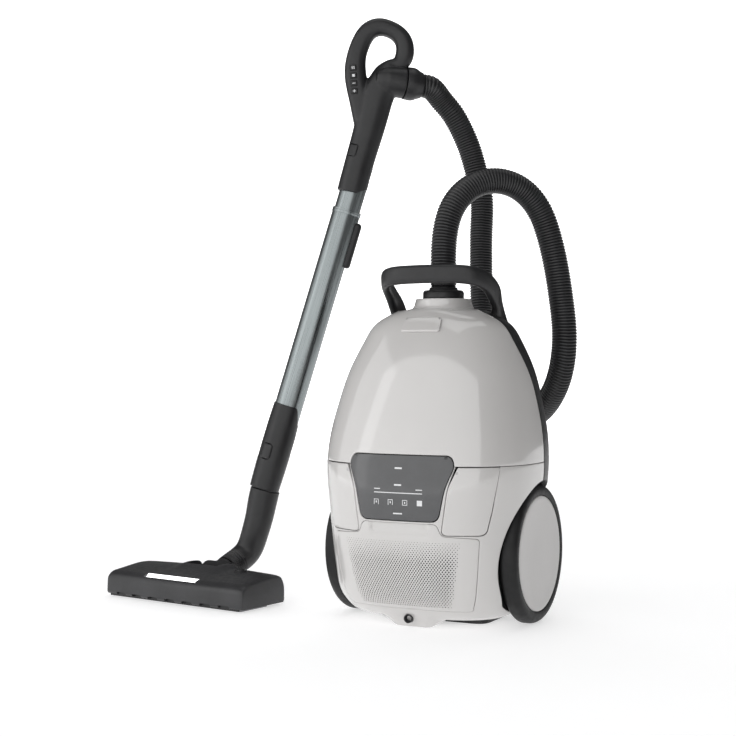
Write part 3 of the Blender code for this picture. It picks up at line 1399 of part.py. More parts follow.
def main():
    shell = canister_shell()
    front = common(
        copy_of(shell, "front", None, True), half_space((None,) * 3, (None, INLET_Y - SEAM / 2, None))
    )
    build_chassis(shell)
    build_lid(front)
    build_front_pieces(front)
    bpy.data.objects.remove(shell, do_unlink=True)
    bpy.data.objects.remove(front, do_unlink=True)
    build_latch()
    build_cord_outlet()
    build_collar()
    build_connector()
    build_hose()
    build_carry_handle()
    build_wheels()
    build_caster()
    build_foot()
    build_inside()
    build_tubes()
    build_telescope_pad()
    build_sleeve()
    build_grip()
    build_cuff()
    build_nozzle_body()
    build_nozzle_wheels()
    build_nozzle_inside()
    build_lens_and_knob()
    build_yoke()
    build_neck()


main()
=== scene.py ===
"""Looks of the canister vacuum cleaner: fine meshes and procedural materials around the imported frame.

Metres, +Z up, -Y is the lid side of the canister. The forms follow the same driving sizes as the frame.
"""

import json
import math

import bmesh
import bpy
import numpy as np
from mathutils import Matrix, Vector, noise
from mathutils.geometry import delaunay_2d_cdt

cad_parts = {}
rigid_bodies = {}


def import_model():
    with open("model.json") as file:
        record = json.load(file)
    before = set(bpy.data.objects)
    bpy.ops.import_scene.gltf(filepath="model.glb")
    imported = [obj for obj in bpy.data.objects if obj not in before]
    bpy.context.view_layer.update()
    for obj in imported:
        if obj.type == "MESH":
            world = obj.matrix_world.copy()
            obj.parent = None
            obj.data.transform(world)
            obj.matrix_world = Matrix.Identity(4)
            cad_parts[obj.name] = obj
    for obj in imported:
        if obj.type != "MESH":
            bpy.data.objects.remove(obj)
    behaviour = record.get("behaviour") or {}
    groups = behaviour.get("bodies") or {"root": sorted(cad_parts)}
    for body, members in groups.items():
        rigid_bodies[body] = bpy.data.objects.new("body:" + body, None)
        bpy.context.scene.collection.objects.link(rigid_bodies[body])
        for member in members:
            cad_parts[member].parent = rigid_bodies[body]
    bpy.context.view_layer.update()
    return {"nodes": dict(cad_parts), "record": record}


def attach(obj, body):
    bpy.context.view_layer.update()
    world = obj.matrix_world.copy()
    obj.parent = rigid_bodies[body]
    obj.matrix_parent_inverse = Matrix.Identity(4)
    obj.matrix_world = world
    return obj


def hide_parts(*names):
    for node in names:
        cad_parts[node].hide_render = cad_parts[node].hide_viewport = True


for startup in [obj for obj in bpy.data.objects if obj.name in ("Cube", "Light", "Camera")]:
    bpy.data.objects.remove(startup, do_unlink=True)
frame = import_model()
NODES = frame["nodes"]

# --- Canister form: the frame's driving sizes ----------------------------------------------------------------
HALF_WIDTH = 0.150
FRONT = 0.152
REAR = 0.103
BASE = 0.012
HEIGHT = 0.415
WALL = 0.003
SEAM = 0.0006
ENVELOPE = (  # share of the height, half width, front depth, rear depth, squareness
    (0.000, 0.747, 0.711, 0.699, 2.8),
    (0.055, 0.853, 0.849, 0.854, 2.8),
    (0.128, 0.893, 0.928, 0.932, 2.8),
    (0.236, 0.927, 0.980, 0.981, 2.7),
    (0.357, 0.967, 1.000, 1.000, 2.6),
    (0.477, 1.000, 0.990, 1.000, 2.6),
    (0.573, 1.000, 0.941, 0.990, 2.5),
    (0.694, 0.943, 0.845, 0.961, 2.4),
    (0.814, 0.847, 0.711, 0.874, 2.4),
    (0.911, 0.727, 0.572, 0.718, 2.3),
    (0.971, 0.587, 0.454, 0.534, 2.2),
    (1.000, 0.427, 0.375, 0.418, 2.1),
)
AROUND = 0.150
CAP = 0.014
BOTTOM_CAP = 0.045
BOTTOM_ROUND = 0.008
INLET_Y = -0.004
LID_Z = 0.220
PANEL_TOP, PANEL_BOTTOM = 0.234, 0.1475
PANEL_TOP_HALF, PANEL_BOTTOM_HALF = 0.077, 0.056
PEDAL_OUTER, PEDAL_BOTTOM = 0.128, 0.130
COVER_BOTTOM, COVER_TOP = 0.027, 0.1445
COVER_TOP_HALF, COVER_BOTTOM_HALF = 0.106, 0.090
COLLAR_HOLE = 0.0511
WHEEL_Z = 0.095
WELL_RADIUS, WELL_X = 0.100, 0.118

# --- Wand, cuff and nozzle -----------------------------------------------------------------------------------
WAND_BASE = (-0.3668, 0.0546, 0.045)
WAND_LEAN = math.radians(16.6)
WAND_PLANE = math.radians(27.0)
CUFF_CENTRE = Vector((-0.144, 0.168, 0.7855))
CUFF_AXIS = Vector((0.749, 0.652, -0.116)).normalized()
NOZZLE_CENTRE = (-0.384, -0.054)
NOZZLE_YAW = math.radians(-9.0)
HOSE_DIAMETER = 0.0365
HOSE_RIB_PITCH = 0.0042
HOSE_ROUTE = (
    (0.000, -0.004, 0.4600), (0.000, -0.004, 0.500), (0.002, -0.002, 0.538), (0.011, 0.006, 0.575),
    (0.031, 0.027, 0.603), (0.058, 0.054, 0.612), (0.083, 0.078, 0.602), (0.102, 0.096, 0.577),
    (0.115, 0.108, 0.537), (0.124, 0.115, 0.490), (0.130, 0.119, 0.444), (0.133, 0.122, 0.409),
    (0.131, 0.127, 0.369), (0.120, 0.137, 0.331), (0.099, 0.153, 0.299), (0.070, 0.175, 0.277),
    (0.037, 0.200, 0.270), (0.004, 0.225, 0.279), (-0.024, 0.246, 0.305), (-0.044, 0.260, 0.345),
    (-0.053, 0.267, 0.395), (-0.056, 0.269, 0.450), (-0.057, 0.269, 0.510), (-0.056, 0.268, 0.565),
    (-0.055, 0.266, 0.612), (-0.061, 0.259, 0.652), (-0.069, 0.250, 0.689), (-0.079, 0.239, 0.720),
    (-0.091, 0.226, 0.7465), (-0.1035, 0.2125, 0.766), (-0.1135, 0.2010, 0.7770), (-0.1222, 0.1870, 0.7818),
)


# --- Mesh tools ----------------------------------------------------------------------------------------------
def finish_piece(name, points, faces, mat, body, replaced=(), smooth_deg=40.0):
    """A mesh object that rides on a body and stands for the frame's nodes that are named."""
    mesh = bpy.data.meshes.new(name)
    mesh.from_pydata([tuple(p) for p in points], [], [tuple(int(i) for i in f) for f in faces])
    mesh.validate()
    obj = bpy.data.objects.new(name, mesh)
    bpy.context.scene.collection.objects.link(obj)
    return dress(obj, mat, body, replaced, smooth_deg)


def dress(obj, mat, body, replaced=(), smooth_deg=40.0):
    obj.data.materials.clear()
    obj.data.materials.append(mat)
    obj.data.shade_smooth()
    obj.data.set_sharp_from_angle(angle=math.radians(smooth_deg))
    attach(obj, body)
    if replaced:
        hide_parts(*replaced)
    return obj


def lathe(profile, place, steps=96, closed=True):
    """Points and faces of a profile of (radius, height) turned about the Z axis of a frame."""
    count = len(profile)
    points = []
    for k in range(steps):
        angle = 2 * math.pi * k / steps
        points += [place @ Vector((r * math.cos(angle), r * math.sin(angle), z)) for r, z in profile]
    faces = []
    for k in range(steps):
        here, there = k * count, (k + 1) % steps * count
        for i in range(count if closed else count - 1):
            j = (i + 1) % count
            corners = [here + i, there + i, there + j, here + j]
            if profile[i][0] < 1e-9:
                corners[1] = corners[0] if k == 0 else None
            faces.append(corners)
    return weld(points, faces)


def weld(points, faces, distance=1e-6):
    """Merges points that coincide and drops faces that have collapsed."""
    keys = {}
    index = []
    merged = []
    for p in points:
        key = (round(p[0] / distance), round(p[1] / distance), round(p[2] / distance))
        if key not in keys:
            keys[key] = len(merged)
            merged.append(p)
        index.append(keys[key])
    kept = []
    for face in faces:
        corners = []
        for i in face:
            if i is not None and (not corners or index[i] != corners[-1]):
                corners.append(index[i])
        if len(corners) > 1 and corners[0] == corners[-1]:
            corners.pop()
        if len(set(corners)) > 2:
            kept.append(corners)
    return merged, kept


def round_profile(points, radius, steps=5):
    """A closed profile whose corners are arcs. A radius can be one number or one for each corner."""
    made = []
    count = len(points)
    for i, here in enumerate(points):
        size = radius[i] if hasattr(radius, "__len__") else radius
        here = Vector(here)
        if size <= 0:
            made.append(tuple(here))
            continue
        back = Vector(points[i - 1]) - here
        forth = Vector(points[(i + 1) % count]) - here
        reach = min(size, back.length * 0.48, forth.length * 0.48)
        back.normalize()
        forth.normalize()
        for k in range(steps + 1):
            share = k / steps
            first = here + back * reach * (1 - share)
            second = here + forth * reach * share
            made.append(tuple(first.lerp(second, share)))
    return made


def spline_values(keys, values, at):
    """Natural cubic spline through rows of values."""
    keys = np.asarray(keys, float)
    values = np.asarray(values, float)
    at = np.asarray(at, float)
    count = len(keys)
    step = np.diff(keys)
    matrix = np.eye(count)
    right = np.zeros_like(values)
    for i in range(1, count - 1):
        matrix[i, i - 1] = step[i - 1]
        matrix[i, i] = 2 * (step[i - 1] + step[i])
        matrix[i, i + 1] = step[i]
        right[i] = 6 * ((values[i + 1] - values[i]) / step[i] - (values[i] - values[i - 1]) / step[i - 1])
    bend = np.linalg.solve(matrix, right)
    k = np.clip(np.searchsorted(keys, at) - 1, 0, count - 2)
    width = step[k][..., None]
    a = ((keys[k + 1] - at)[..., None]) / width
    b = 1 - a
    curve = ((a**3 - a) * bend[k] + (b**3 - b) * bend[k + 1]) * width**2 / 6
    return a * values[k] + b * values[k + 1] + curve


def smooth_line(points, count):
    """Evenly spaced points of a smooth curve through the given rows, whose first three values are a place."""
    points = np.array(points, float)
    keys = np.concatenate([[0.0], np.cumsum(np.linalg.norm(np.diff(points[:, :3], axis=0), axis=1))])
    fine = spline_values(keys, points, np.linspace(0.0, keys[-1], 2000))
    run = np.concatenate([[0.0], np.cumsum(np.linalg.norm(np.diff(fine[:, :3], axis=0), axis=1))])
    wanted = np.linspace(0.0, run[-1], count)
    return np.stack([np.interp(wanted, run, fine[:, i]) for i in range(points.shape[1])], axis=1)


def ring_sweep(centres, sides, ups, halves, squares, count=48, capped=True):
    """Points and faces of a loft of superelliptic rings."""
    angles = 2 * math.pi * np.arange(count) / count
    cosine, sine = np.cos(angles), np.sin(angles)
    points = []
    for centre, side, up, half, square in zip(centres, sides, ups, halves, squares):
        x = half[0] * np.sign(cosine) * np.abs(cosine) ** (2 / square)
        y = half[1] * np.sign(sine) * np.abs(sine) ** (2 / square)
        points += list(np.asarray(centre) + np.outer(x, side) + np.outer(y, up))
    faces = grid_faces(len(centres), count)
    if capped:
        faces.append(list(range(count))[::-1])
        faces.append([(len(centres) - 1) * count + k for k in range(count)])
    return points, faces


def grid_faces(rows, count):
    faces = []
    for row in range(rows - 1):
        for k in range(count):
            low, high = row * count, (row + 1) * count
            faces.append([low + k, low + (k + 1) % count, high + (k + 1) % count, high + k])
    return faces


def boolean(obj, cutter, operation="DIFFERENCE"):
    """Applies a Boolean and removes the cutter."""
    step = obj.modifiers.new("cut", "BOOLEAN")
    step.operation = operation
    step.object = cutter
    bpy.context.view_layer.update()
    graph = bpy.context.evaluated_depsgraph_get()
    mesh = bpy.data.meshes.new_from_object(obj.evaluated_get(graph))
    obj.modifiers.clear()
    obj.data = mesh
    bpy.data.objects.remove(cutter, do_unlink=True)
    return obj


def loose_object(name, points, faces):
    mesh = bpy.data.meshes.new(name)
    mesh.from_pydata([tuple(p) for p in points], [], [tuple(int(i) for i in f) for f in faces])
    bm = bmesh.new()
    bm.from_mesh(mesh)
    bmesh.ops.recalc_face_normals(bm, faces=bm.faces)
    bm.to_mesh(mesh)
    bm.free()
    obj = bpy.data.objects.new(name, mesh)
    bpy.context.scene.collection.objects.link(obj)
    return obj


def block(name, low, high, place=None, bevel=0.0, segments=3):
    """A box between two corners of a frame, with rounded edges."""
    bm = bmesh.new()
    bmesh.ops.create_cube(bm, size=1.0)
    low, high = Vector(low), Vector(high)
    bmesh.ops.scale(bm, vec=high - low, verts=bm.verts)
    bmesh.ops.translate(bm, vec=(low + high) / 2, verts=bm.verts)
    if bevel:
        bmesh.ops.bevel(bm, geom=bm.edges[:], offset=bevel, segments=segments, affect="EDGES", profile=0.5)
    if place is not None:
        bm.transform(place)
    mesh = bpy.data.meshes.new(name)
    bm.to_mesh(mesh)
    bm.free()
    obj = bpy.data.objects.new(name, mesh)
    bpy.context.scene.collection.objects.link(obj)
    return obj


def rod(name, start, end, radius, end_radius=None, segments=48):
    start, end = Vector(start), Vector(end)
    along = end - start
    turn = along.to_track_quat("Z", "Y").to_matrix().to_4x4()
    bm = bmesh.new()
    bmesh.ops.create_cone(
        bm, cap_ends=True, segments=segments, radius1=radius,
        radius2=radius if end_radius is None else end_radius, depth=along.length,
    )
    bm.transform(Matrix.Translation((start + end) / 2) @ turn)
    mesh = bpy.data.meshes.new(name)
    bm.to_mesh(mesh)
    bm.free()
    obj = bpy.data.objects.new(name, mesh)
    bpy.context.scene.collection.objects.link(obj)
    return obj


def merge_objects(objs):
    """One object that holds the meshes of several, and is the first of them."""
    bm = bmesh.new()
    for obj in objs:
        bm.from_mesh(obj.data)
    bm.to_mesh(objs[0].data)
    bm.free()
    for obj in objs[1:]:
        bpy.data.objects.remove(obj, do_unlink=True)
    return objs[0]


def remesh(obj, voxel, rounds):
    """Fuses the shells of a mesh into one skin and softens where they meet."""
    step = obj.modifiers.new("fuse", "REMESH")
    step.mode = "VOXEL"
    step.voxel_size = voxel
    soften = obj.modifiers.new("soften", "SMOOTH")
    soften.factor = 0.5
    soften.iterations = rounds
    bpy.context.view_layer.update()
    graph = bpy.context.evaluated_depsgraph_get()
    mesh = bpy.data.meshes.new_from_object(obj.evaluated_get(graph))
    obj.modifiers.clear()
    obj.data = mesh
    return obj


# --- Materials -----------------------------------------------------------------------------------------------
class Surface:
    """A Principled material with its detail nodes, all in the object's own metres."""

    def __init__(
        self, name, color, roughness, metallic=0.0, coat=0.0, coat_roughness=0.1, specular=0.5, coat_ior=1.5
    ):
        self.mat = bpy.data.materials.new(name)
        self.mat.use_nodes = True
        self.tree = self.mat.node_tree
        self.shader = self.tree.nodes["Principled BSDF"]
        self.shader.inputs["Base Color"].default_value = (*color, 1.0)
        self.shader.inputs["Roughness"].default_value = roughness
        self.shader.inputs["Metallic"].default_value = metallic
        self.shader.inputs["Coat Weight"].default_value = coat
        self.shader.inputs["Coat Roughness"].default_value = coat_roughness
        self.shader.inputs["Coat IOR"].default_value = coat_ior
        self.shader.inputs["Specular IOR Level"].default_value = specular
        self.place = self.tree.nodes.new("ShaderNodeTexCoord").outputs["Object"]
        self.height = None

    def node(self, kind, **values):
        made = self.tree.nodes.new(kind)
        for key, value in values.items():
            if hasattr(made, key):
                setattr(made, key, value)
            else:
                made.inputs[key.replace("_", " ")].default_value = value
        return made

    def stretched(self, turn, scale):
        """Coordinates turned into another frame and stretched along its axes."""
        mapping = self.node("ShaderNodeMapping", vector_type="TEXTURE")
        mapping.inputs["Rotation"].default_value = turn
        mapping.inputs["Scale"].default_value = scale
        self.tree.links.new(self.place, mapping.inputs["Vector"])
        return mapping.outputs["Vector"]

    def noise(self, scale, detail=3.0, place=None, roughness=0.5):
        made = self.node("ShaderNodeTexNoise", Scale=scale, Detail=detail, Roughness=roughness)
        self.tree.links.new(place or self.place, made.inputs["Vector"])
        return made.outputs["Fac"]

    def cells(self, scale, feature="F1"):
        made = self.node("ShaderNodeTexVoronoi", feature=feature, Scale=scale)
        self.tree.links.new(self.place, made.inputs["Vector"])
        return made.outputs["Distance"]

    def spread(self, value, low, high, from_low=0.0, from_high=1.0):
        made = self.node("ShaderNodeMapRange")
        for socket, number in zip(("From Min", "From Max", "To Min", "To Max"), (from_low, from_high, low, high)):
            made.inputs[socket].default_value = number
        self.tree.links.new(value, made.inputs["Value"])
        return made.outputs["Result"]

    def tint(self, value, low, high, from_low=0.3, from_high=0.7):
        """The base colour runs between two colours as the value changes."""
        mix = self.node("ShaderNodeMix", data_type="RGBA")
        self.tree.links.new(self.spread(value, 0.0, 1.0, from_low, from_high), mix.inputs["Factor"])
        mix.inputs["A"].default_value = (*low, 1.0)
        mix.inputs["B"].default_value = (*high, 1.0)
        self.tree.links.new(mix.outputs["Result"], self.shader.inputs["Base Color"])
        return self

    def rough(self, value, low, high, from_low=0.3, from_high=0.7):
        self.tree.links.new(self.spread(value, low, high, from_low, from_high), self.shader.inputs["Roughness"])
        return self

    def bump(self, value, strength, distance):
        made = self.node("ShaderNodeBump", Strength=strength, Distance=distance)
        self.tree.links.new(value, made.inputs["Height"])
        if self.height is not None:
            self.tree.links.new(self.height, made.inputs["Normal"])
        self.height = made.outputs["Normal"]
        self.tree.links.new(self.height, self.shader.inputs["Normal"])
        return self


def shade(color, factor):
    return tuple(min(channel * factor, 1.0) for channel in color)


def white_shell():
    color = (0.575, 0.562, 0.551)
    s = Surface("shell_white", color, 0.36, coat=1.0, coat_roughness=0.085, coat_ior=1.8)
    broad = s.noise(9.0, 2.0)
    s.tint(broad, shade(color, 0.975), shade(color, 1.015))
    s.rough(s.noise(260.0, 4.0), 0.33, 0.41)
    s.bump(s.noise(1900.0, 2.0), 0.10, 0.00008)
    s.bump(s.noise(35.0, 1.0), 0.04, 0.0006)
    return s.mat


def disc_white():
    color = (0.56, 0.548, 0.540)
    s = Surface("wheel_disc_white", color, 0.42, coat=0.2, coat_roughness=0.3)
    s.tint(s.noise(14.0, 2.0), shade(color, 0.97), shade(color, 1.02))
    s.rough(s.noise(300.0, 4.0), 0.38, 0.47)
    s.bump(s.noise(2300.0, 2.0), 0.12, 0.00008)
    return s.mat


def black_plastic(name="plastic_black", color=(0.013, 0.013, 0.014), roughness=0.44, grain=1500.0):
    s = Surface(name, color, roughness, specular=0.48)
    s.tint(s.noise(22.0, 3.0), shade(color, 0.85), shade(color, 1.25))
    s.rough(s.noise(180.0, 4.0), roughness - 0.06, roughness + 0.07)
    s.bump(s.cells(grain), 0.14, 0.00010)
    s.bump(s.noise(60.0, 2.0), 0.05, 0.0005)
    return s.mat


def hose_plastic():
    color = (0.010, 0.010, 0.011)
    s = Surface("hose_ribbed_black", color, 0.32, specular=0.55)
    s.tint(s.noise(30.0, 3.0), shade(color, 0.8), shade(color, 1.35))
    s.rough(s.noise(140.0, 4.0), 0.27, 0.38)
    s.bump(s.noise(900.0, 3.0), 0.12, 0.0001)
    return s.mat


def tyre_rubber():
    color = (0.010, 0.010, 0.0105)
    s = Surface("tyre_rubber_black", color, 0.50, specular=0.30)
    s.tint(s.noise(40.0, 4.0), shade(color, 0.8), shade(color, 1.5))
    s.rough(s.noise(120.0, 4.0), 0.44, 0.58)
    s.bump(s.noise(1100.0, 4.0), 0.22, 0.00015)
    return s.mat


def anodised_metal():
    color = (0.29, 0.318, 0.322)
    s = Surface("anodised_tube_metal", color, 0.30, metallic=1.0)
    along = (0.0, 0.0, 0.0)
    lines = s.noise(700.0, 3.0, s.stretched(wand_turn(), (1.0, 1.0, 60.0)))
    s.tint(lines, shade(color, 0.88), shade(color, 1.12))
    s.rough(lines, 0.24, 0.36)
    s.bump(lines, 0.10, 0.00004)
    s.bump(s.noise(45.0, 2.0), along[0] + 0.03, 0.0004)
    return s.mat


def panel_dark():
    color = (0.058, 0.059, 0.062)
    s = Surface("control_panel_dark", color, 0.34, coat=0.8, coat_roughness=0.12)
    s.tint(s.noise(60.0, 3.0), shade(color, 0.93), shade(color, 1.08))
    s.rough(s.noise(400.0, 3.0), 0.30, 0.38)
    s.bump(s.noise(2600.0, 2.0), 0.08, 0.00006)
    return s.mat


def print_white():
    color = (0.80, 0.81, 0.82)
    s = Surface("printed_icon_white", color, 0.45)
    s.tint(s.noise(2500.0, 2.0), shade(color, 0.88), shade(color, 1.0))
    s.bump(s.noise(3000.0, 2.0), 0.1, 0.00004)
    return s.mat


def lamp_lens():
    color = (0.93, 0.95, 0.97)
    s = Surface("lamp_lens_lit", color, 0.18)
    s.shader.inputs["Emission Color"].default_value = (1.0, 1.0, 1.0, 1.0)
    s.shader.inputs["Emission Strength"].default_value = 1.6
    s.rough(s.noise(300.0, 2.0), 0.14, 0.26)
    s.bump(s.cells(420.0), 0.25, 0.0002)
    return s.mat


def grey_plastic():
    color = (0.28, 0.28, 0.29)
    s = Surface("inner_plastic_grey", color, 0.52)
    s.tint(s.noise(25.0, 3.0), shade(color, 0.92), shade(color, 1.08))
    s.rough(s.noise(200.0, 4.0), 0.46, 0.60)
    s.bump(s.cells(1300.0), 0.3, 0.0001)
    return s.mat


def steel():
    color = (0.58, 0.58, 0.60)
    s = Surface("steel_turned", color, 0.28, metallic=1.0)
    s.tint(s.noise(120.0, 4.0), shade(color, 0.85), shade(color, 1.1))
    s.rough(s.noise(500.0, 4.0), 0.20, 0.38)
    s.bump(s.noise(1600.0, 3.0), 0.1, 0.00005)
    return s.mat


def fleece(name, color, fibre=2400.0):
    """Matted fibres: crossed streaks of fine noise over soft cloud."""
    s = Surface(name, color, 0.92, specular=0.25)
    s.shader.inputs["Sheen Weight"].default_value = 0.35
    s.shader.inputs["Sheen Roughness"].default_value = 0.6
    first = s.noise(fibre, 3.0, s.stretched((0.3, 0.2, 0.6), (1.0, 14.0, 1.0)))
    second = s.noise(fibre, 3.0, s.stretched((0.9, -0.4, 2.1), (14.0, 1.0, 1.0)))
    s.tint(s.noise(55.0, 5.0), shade(color, 0.86), shade(color, 1.08))
    s.bump(first, 0.5, 0.00025)
    s.bump(second, 0.5, 0.00025)
    s.bump(s.noise(70.0, 3.0), 0.35, 0.0015)
    return s.mat


def circuit_green():
    color = (0.025, 0.13, 0.06)
    s = Surface("circuit_board_green", color, 0.35, coat=0.4, coat_roughness=0.15)
    s.tint(s.cells(260.0), shade(color, 0.7), shade(color, 1.8), 0.1, 0.45)
    s.bump(s.cells(260.0), 0.3, 0.0002)
    return s.mat


def bristle_black():
    color = (0.035, 0.035, 0.04)
    s = Surface("brush_bristle_dark", color, 0.75)
    tufts = s.noise(1500.0, 2.0, s.stretched((0.0, 0.0, NOZZLE_YAW), (1.0, 8.0, 8.0)))
    s.tint(tufts, shade(color, 0.5), shade(color, 1.9))
    s.bump(tufts, 0.8, 0.0006)
    return s.mat


# --- Frames of the wand and the nozzle -----------------------------------------------------------------------
def axes_frame(origin, x, y, z):
    made = Matrix.Identity(4)
    for column, axis in enumerate((x, y, z)):
        for row in range(3):
            made[row][column] = axis[row]
    return Matrix.Translation(origin) @ made


def wand_frame():
    side = Vector((math.cos(WAND_PLANE), math.sin(WAND_PLANE), 0.0))
    back = Vector((-math.sin(WAND_PLANE), math.cos(WAND_PLANE), 0.0))
    up = Vector((0, 0, 1))
    along = up * math.cos(WAND_LEAN) + side * math.sin(WAND_LEAN)
    across = side * math.cos(WAND_LEAN) - up * math.sin(WAND_LEAN)
    return axes_frame(WAND_BASE, across, back, along)


def wand_turn():
    return tuple(wand_frame().to_euler("XYZ"))


def wand_point(x, y, z):
    return wand_frame() @ Vector((x, y, z))


def nozzle_frame():
    return Matrix.Translation((*NOZZLE_CENTRE, 0.0)) @ Matrix.Rotation(NOZZLE_YAW, 4, "Z")


def nozzle_point(x, y, z):
    return nozzle_frame() @ Vector((x, y, z))


WHITE = white_shell()
DISC = disc_white()
BLACK = black_plastic()
HANDLE_BLACK = black_plastic("plastic_black_handle", (0.011, 0.011, 0.012), 0.38, 1900.0)
NOZZLE_BLACK = black_plastic("plastic_black_nozzle", (0.028, 0.028, 0.030), 0.34, 1700.0)
HOSE = hose_plastic()
RUBBER = tyre_rubber()
METAL = anodised_metal()
PANEL = panel_dark()
PRINT = print_white()
KEY_GREY = black_plastic("key_plastic_grey", (0.060, 0.060, 0.063), 0.40, 2600.0)
LAMP = lamp_lens()
GREY = grey_plastic()
STEEL = steel()
BAG = fleece("bag_fleece_cream", (0.74, 0.71, 0.64))
FILTER = fleece("filter_fleece_white", (0.80, 0.81, 0.79), 3000.0)
BOARD = circuit_green()
BRISTLE = bristle_black()

SLOT_MATERIALS = {
    "white_shell": WHITE, "black_plastic": BLACK, "dark_panel": PANEL, "tyre_rubber": RUBBER,
    "hose_plastic": HOSE, "anodised_tube": METAL, "lamp_lens": LAMP, "inner_grey": GREY, "steel_pin": STEEL,
    "bag_fleece": BAG, "filter_fleece": FILTER, "circuit_board": BOARD, "brush_bristle": BRISTLE,
}


def dress_frame_nodes():
    """Every node of the frame gets its procedural material."""
    for row in frame["record"]["subparts"]:
        node = NODES[row["node"]]
        node.data.materials.clear()
        node.data.materials.append(SLOT_MATERIALS[row["material_slot"]])


# --- Skin of the canister ------------------------------------------------------------------------------------
KEYS = [row[0] for row in ENVELOPE]
ROWS = np.array([row[1:] for row in ENVELOPE]) * (HALF_WIDTH, FRONT, REAR, 1.0)


def section(rise):
    """(half width, half depth, middle, squareness) of the canister at heights above its base."""
    level = np.clip(rise, 0.0, HEIGHT)
    half, front, rear, square = np.moveaxis(spline_values(KEYS, ROWS, level / HEIGHT), -1, 0)
    missing = BOTTOM_ROUND - np.clip(rise, 0.0, BOTTOM_ROUND)
    inset = BOTTOM_ROUND - np.sqrt(BOTTOM_ROUND**2 - missing**2)
    shrink = 1 - 0.4 * np.clip(-rise / BOTTOM_CAP, 0.0, 1.0)
    return (half - inset) * shrink, ((front + rear) / 2 - inset) * shrink, (rear - front) / 2, square


def bare_skin(u, rise):
    """Points of the skin at places round it and heights up it. Past the top they run in to the collar."""
    phi = u / AROUND - math.pi / 2
    half, depth, middle, square = section(rise)
    cosine, sine = np.cos(phi), np.sin(phi)
    radius = (np.abs(cosine / half) ** square + np.abs(sine / depth) ** square) ** (-1 / square)
    share = np.clip((rise - HEIGHT) / CAP, 0.0, 1.0)
    x = radius * cosine * (1 - share) + COLLAR_HOLE * cosine * share
    y = (middle + radius * sine) * (1 - share) + (INLET_Y + COLLAR_HOLE * sine) * share
    z = BASE + np.clip(rise, 0.0, HEIGHT) + 0.0008 * share
    return np.stack([x, y, z], axis=-1)


def skin(u, rise, lift):
    """Points of the skin moved out along its normal."""
    step = 0.0006
    across = bare_skin(u + step, rise) - bare_skin(u - step, rise)
    upwards = bare_skin(u, rise + step) - bare_skin(u, rise - step)
    normal = np.cross(across, upwards)
    normal /= np.maximum(np.linalg.norm(normal, axis=-1, keepdims=True), 1e-12)
    return bare_skin(u, rise) + normal * np.asarray(lift)[..., None]


def on_front(points):
    """Places on the skin of front-view points (x, z)."""
    points = np.asarray(points, float)
    rise = points[:, 1] - BASE
    half, depth, middle, square = section(rise)
    out = np.clip(np.abs(points[:, 0]) / half, 0.0, 0.9999)
    y = middle - depth * (1 - out**square) ** (1 / square)
    u = AROUND * (np.arctan2(y - middle, points[:, 0]) + math.pi / 2)
    return np.stack([u, rise], axis=1)


def ease(value, low, high):
    """0 below the low value, 1 above the high one, and smooth between."""
    share = np.clip((np.asarray(value, float) - low) / (high - low), 0.0, 1.0)
    return share * share * (3 - 2 * share)


def seam_y(rise, gap):
    """The seam between the white front and the black rear runs forward where it meets the handle's feet."""
    z = np.asarray(rise, float) + BASE
    return INLET_Y + gap - 0.0035 * ease(z, 0.200, 0.240) - 0.0140 * ease(z, 0.315, 0.415)


def seam_u(rise, gap):
    """Where the right side of the skin meets the seam."""
    rise = np.asarray(rise, float)
    plane = seam_y(rise, gap)
    low = np.full(rise.shape, 0.0)
    high = np.full(rise.shape, math.pi * AROUND)
    for _ in range(45):
        middle = (low + high) / 2
        behind = bare_skin(middle, rise)[..., 1] > plane
        high = np.where(behind, middle, high)
        low = np.where(behind, low, middle)
    return (low + high) / 2


def well_outline(grow):
    """The wheel well on the right side, as places on the skin, with what lies inside it."""
    places = []
    for psi in np.linspace(0.0, 2 * math.pi, 180, endpoint=False):
        radii = np.linspace(0.004, WELL_RADIUS + grow, 240)
        y = radii * math.cos(psi)
        z = WHEEL_Z + radii * math.sin(psi)
        rise = z - BASE
        half, depth, middle, square = section(np.maximum(rise, -0.02))
        level = np.clip(np.abs(y - middle) / depth, 0.0, 0.99999)
        x = half * (1 - level**square) ** (1 / square)
        inside = np.nonzero((x < WELL_X - grow) | (rise < 0.001))[0]
        last = inside[0] - 1 if len(inside) else len(radii) - 1
        last = max(last, 0)
        places.append((x[last], y[last], z[last], middle[last]))
    places = np.array(places)
    u = AROUND * (np.arctan2(places[:, 1] - places[:, 3], places[:, 0]) + math.pi / 2)
    return np.stack([u, places[:, 2] - BASE], axis=1), places


def rounded(points, radius, steps=8):
    return round_profile(points, radius, steps)


def mirrored(points):
    """Right half of an outline, bottom to top, closed by its mirror image."""
    return list(points) + [(-x, z) for x, z in list(points)[::-1]]


def panel_outline(grow):
    mid = (PANEL_TOP + PANEL_BOTTOM) / 2
    mid_half = PANEL_BOTTOM_HALF + (PANEL_TOP_HALF - PANEL_BOTTOM_HALF) * 0.42
    right = [
        (PANEL_BOTTOM_HALF + grow, PANEL_BOTTOM - grow),
        (mid_half + grow, mid),
        (PANEL_TOP_HALF + grow, LID_Z + 0.001),
        (PANEL_TOP_HALF - 0.006 + grow, PANEL_TOP + grow),
    ]
    return rounded(mirrored(right), 0.011)


def cover_outline(grow):
    right = [
        (COVER_BOTTOM_HALF + grow, COVER_BOTTOM - grow),
        (COVER_TOP_HALF + grow, PEDAL_BOTTOM - 0.004 + grow),
        (PANEL_BOTTOM_HALF + 0.004 + grow, PEDAL_BOTTOM - 0.001 + grow),
        (PANEL_BOTTOM_HALF - 0.002 + grow, COVER_TOP + grow),
    ]
    return rounded(mirrored(right), 0.006)


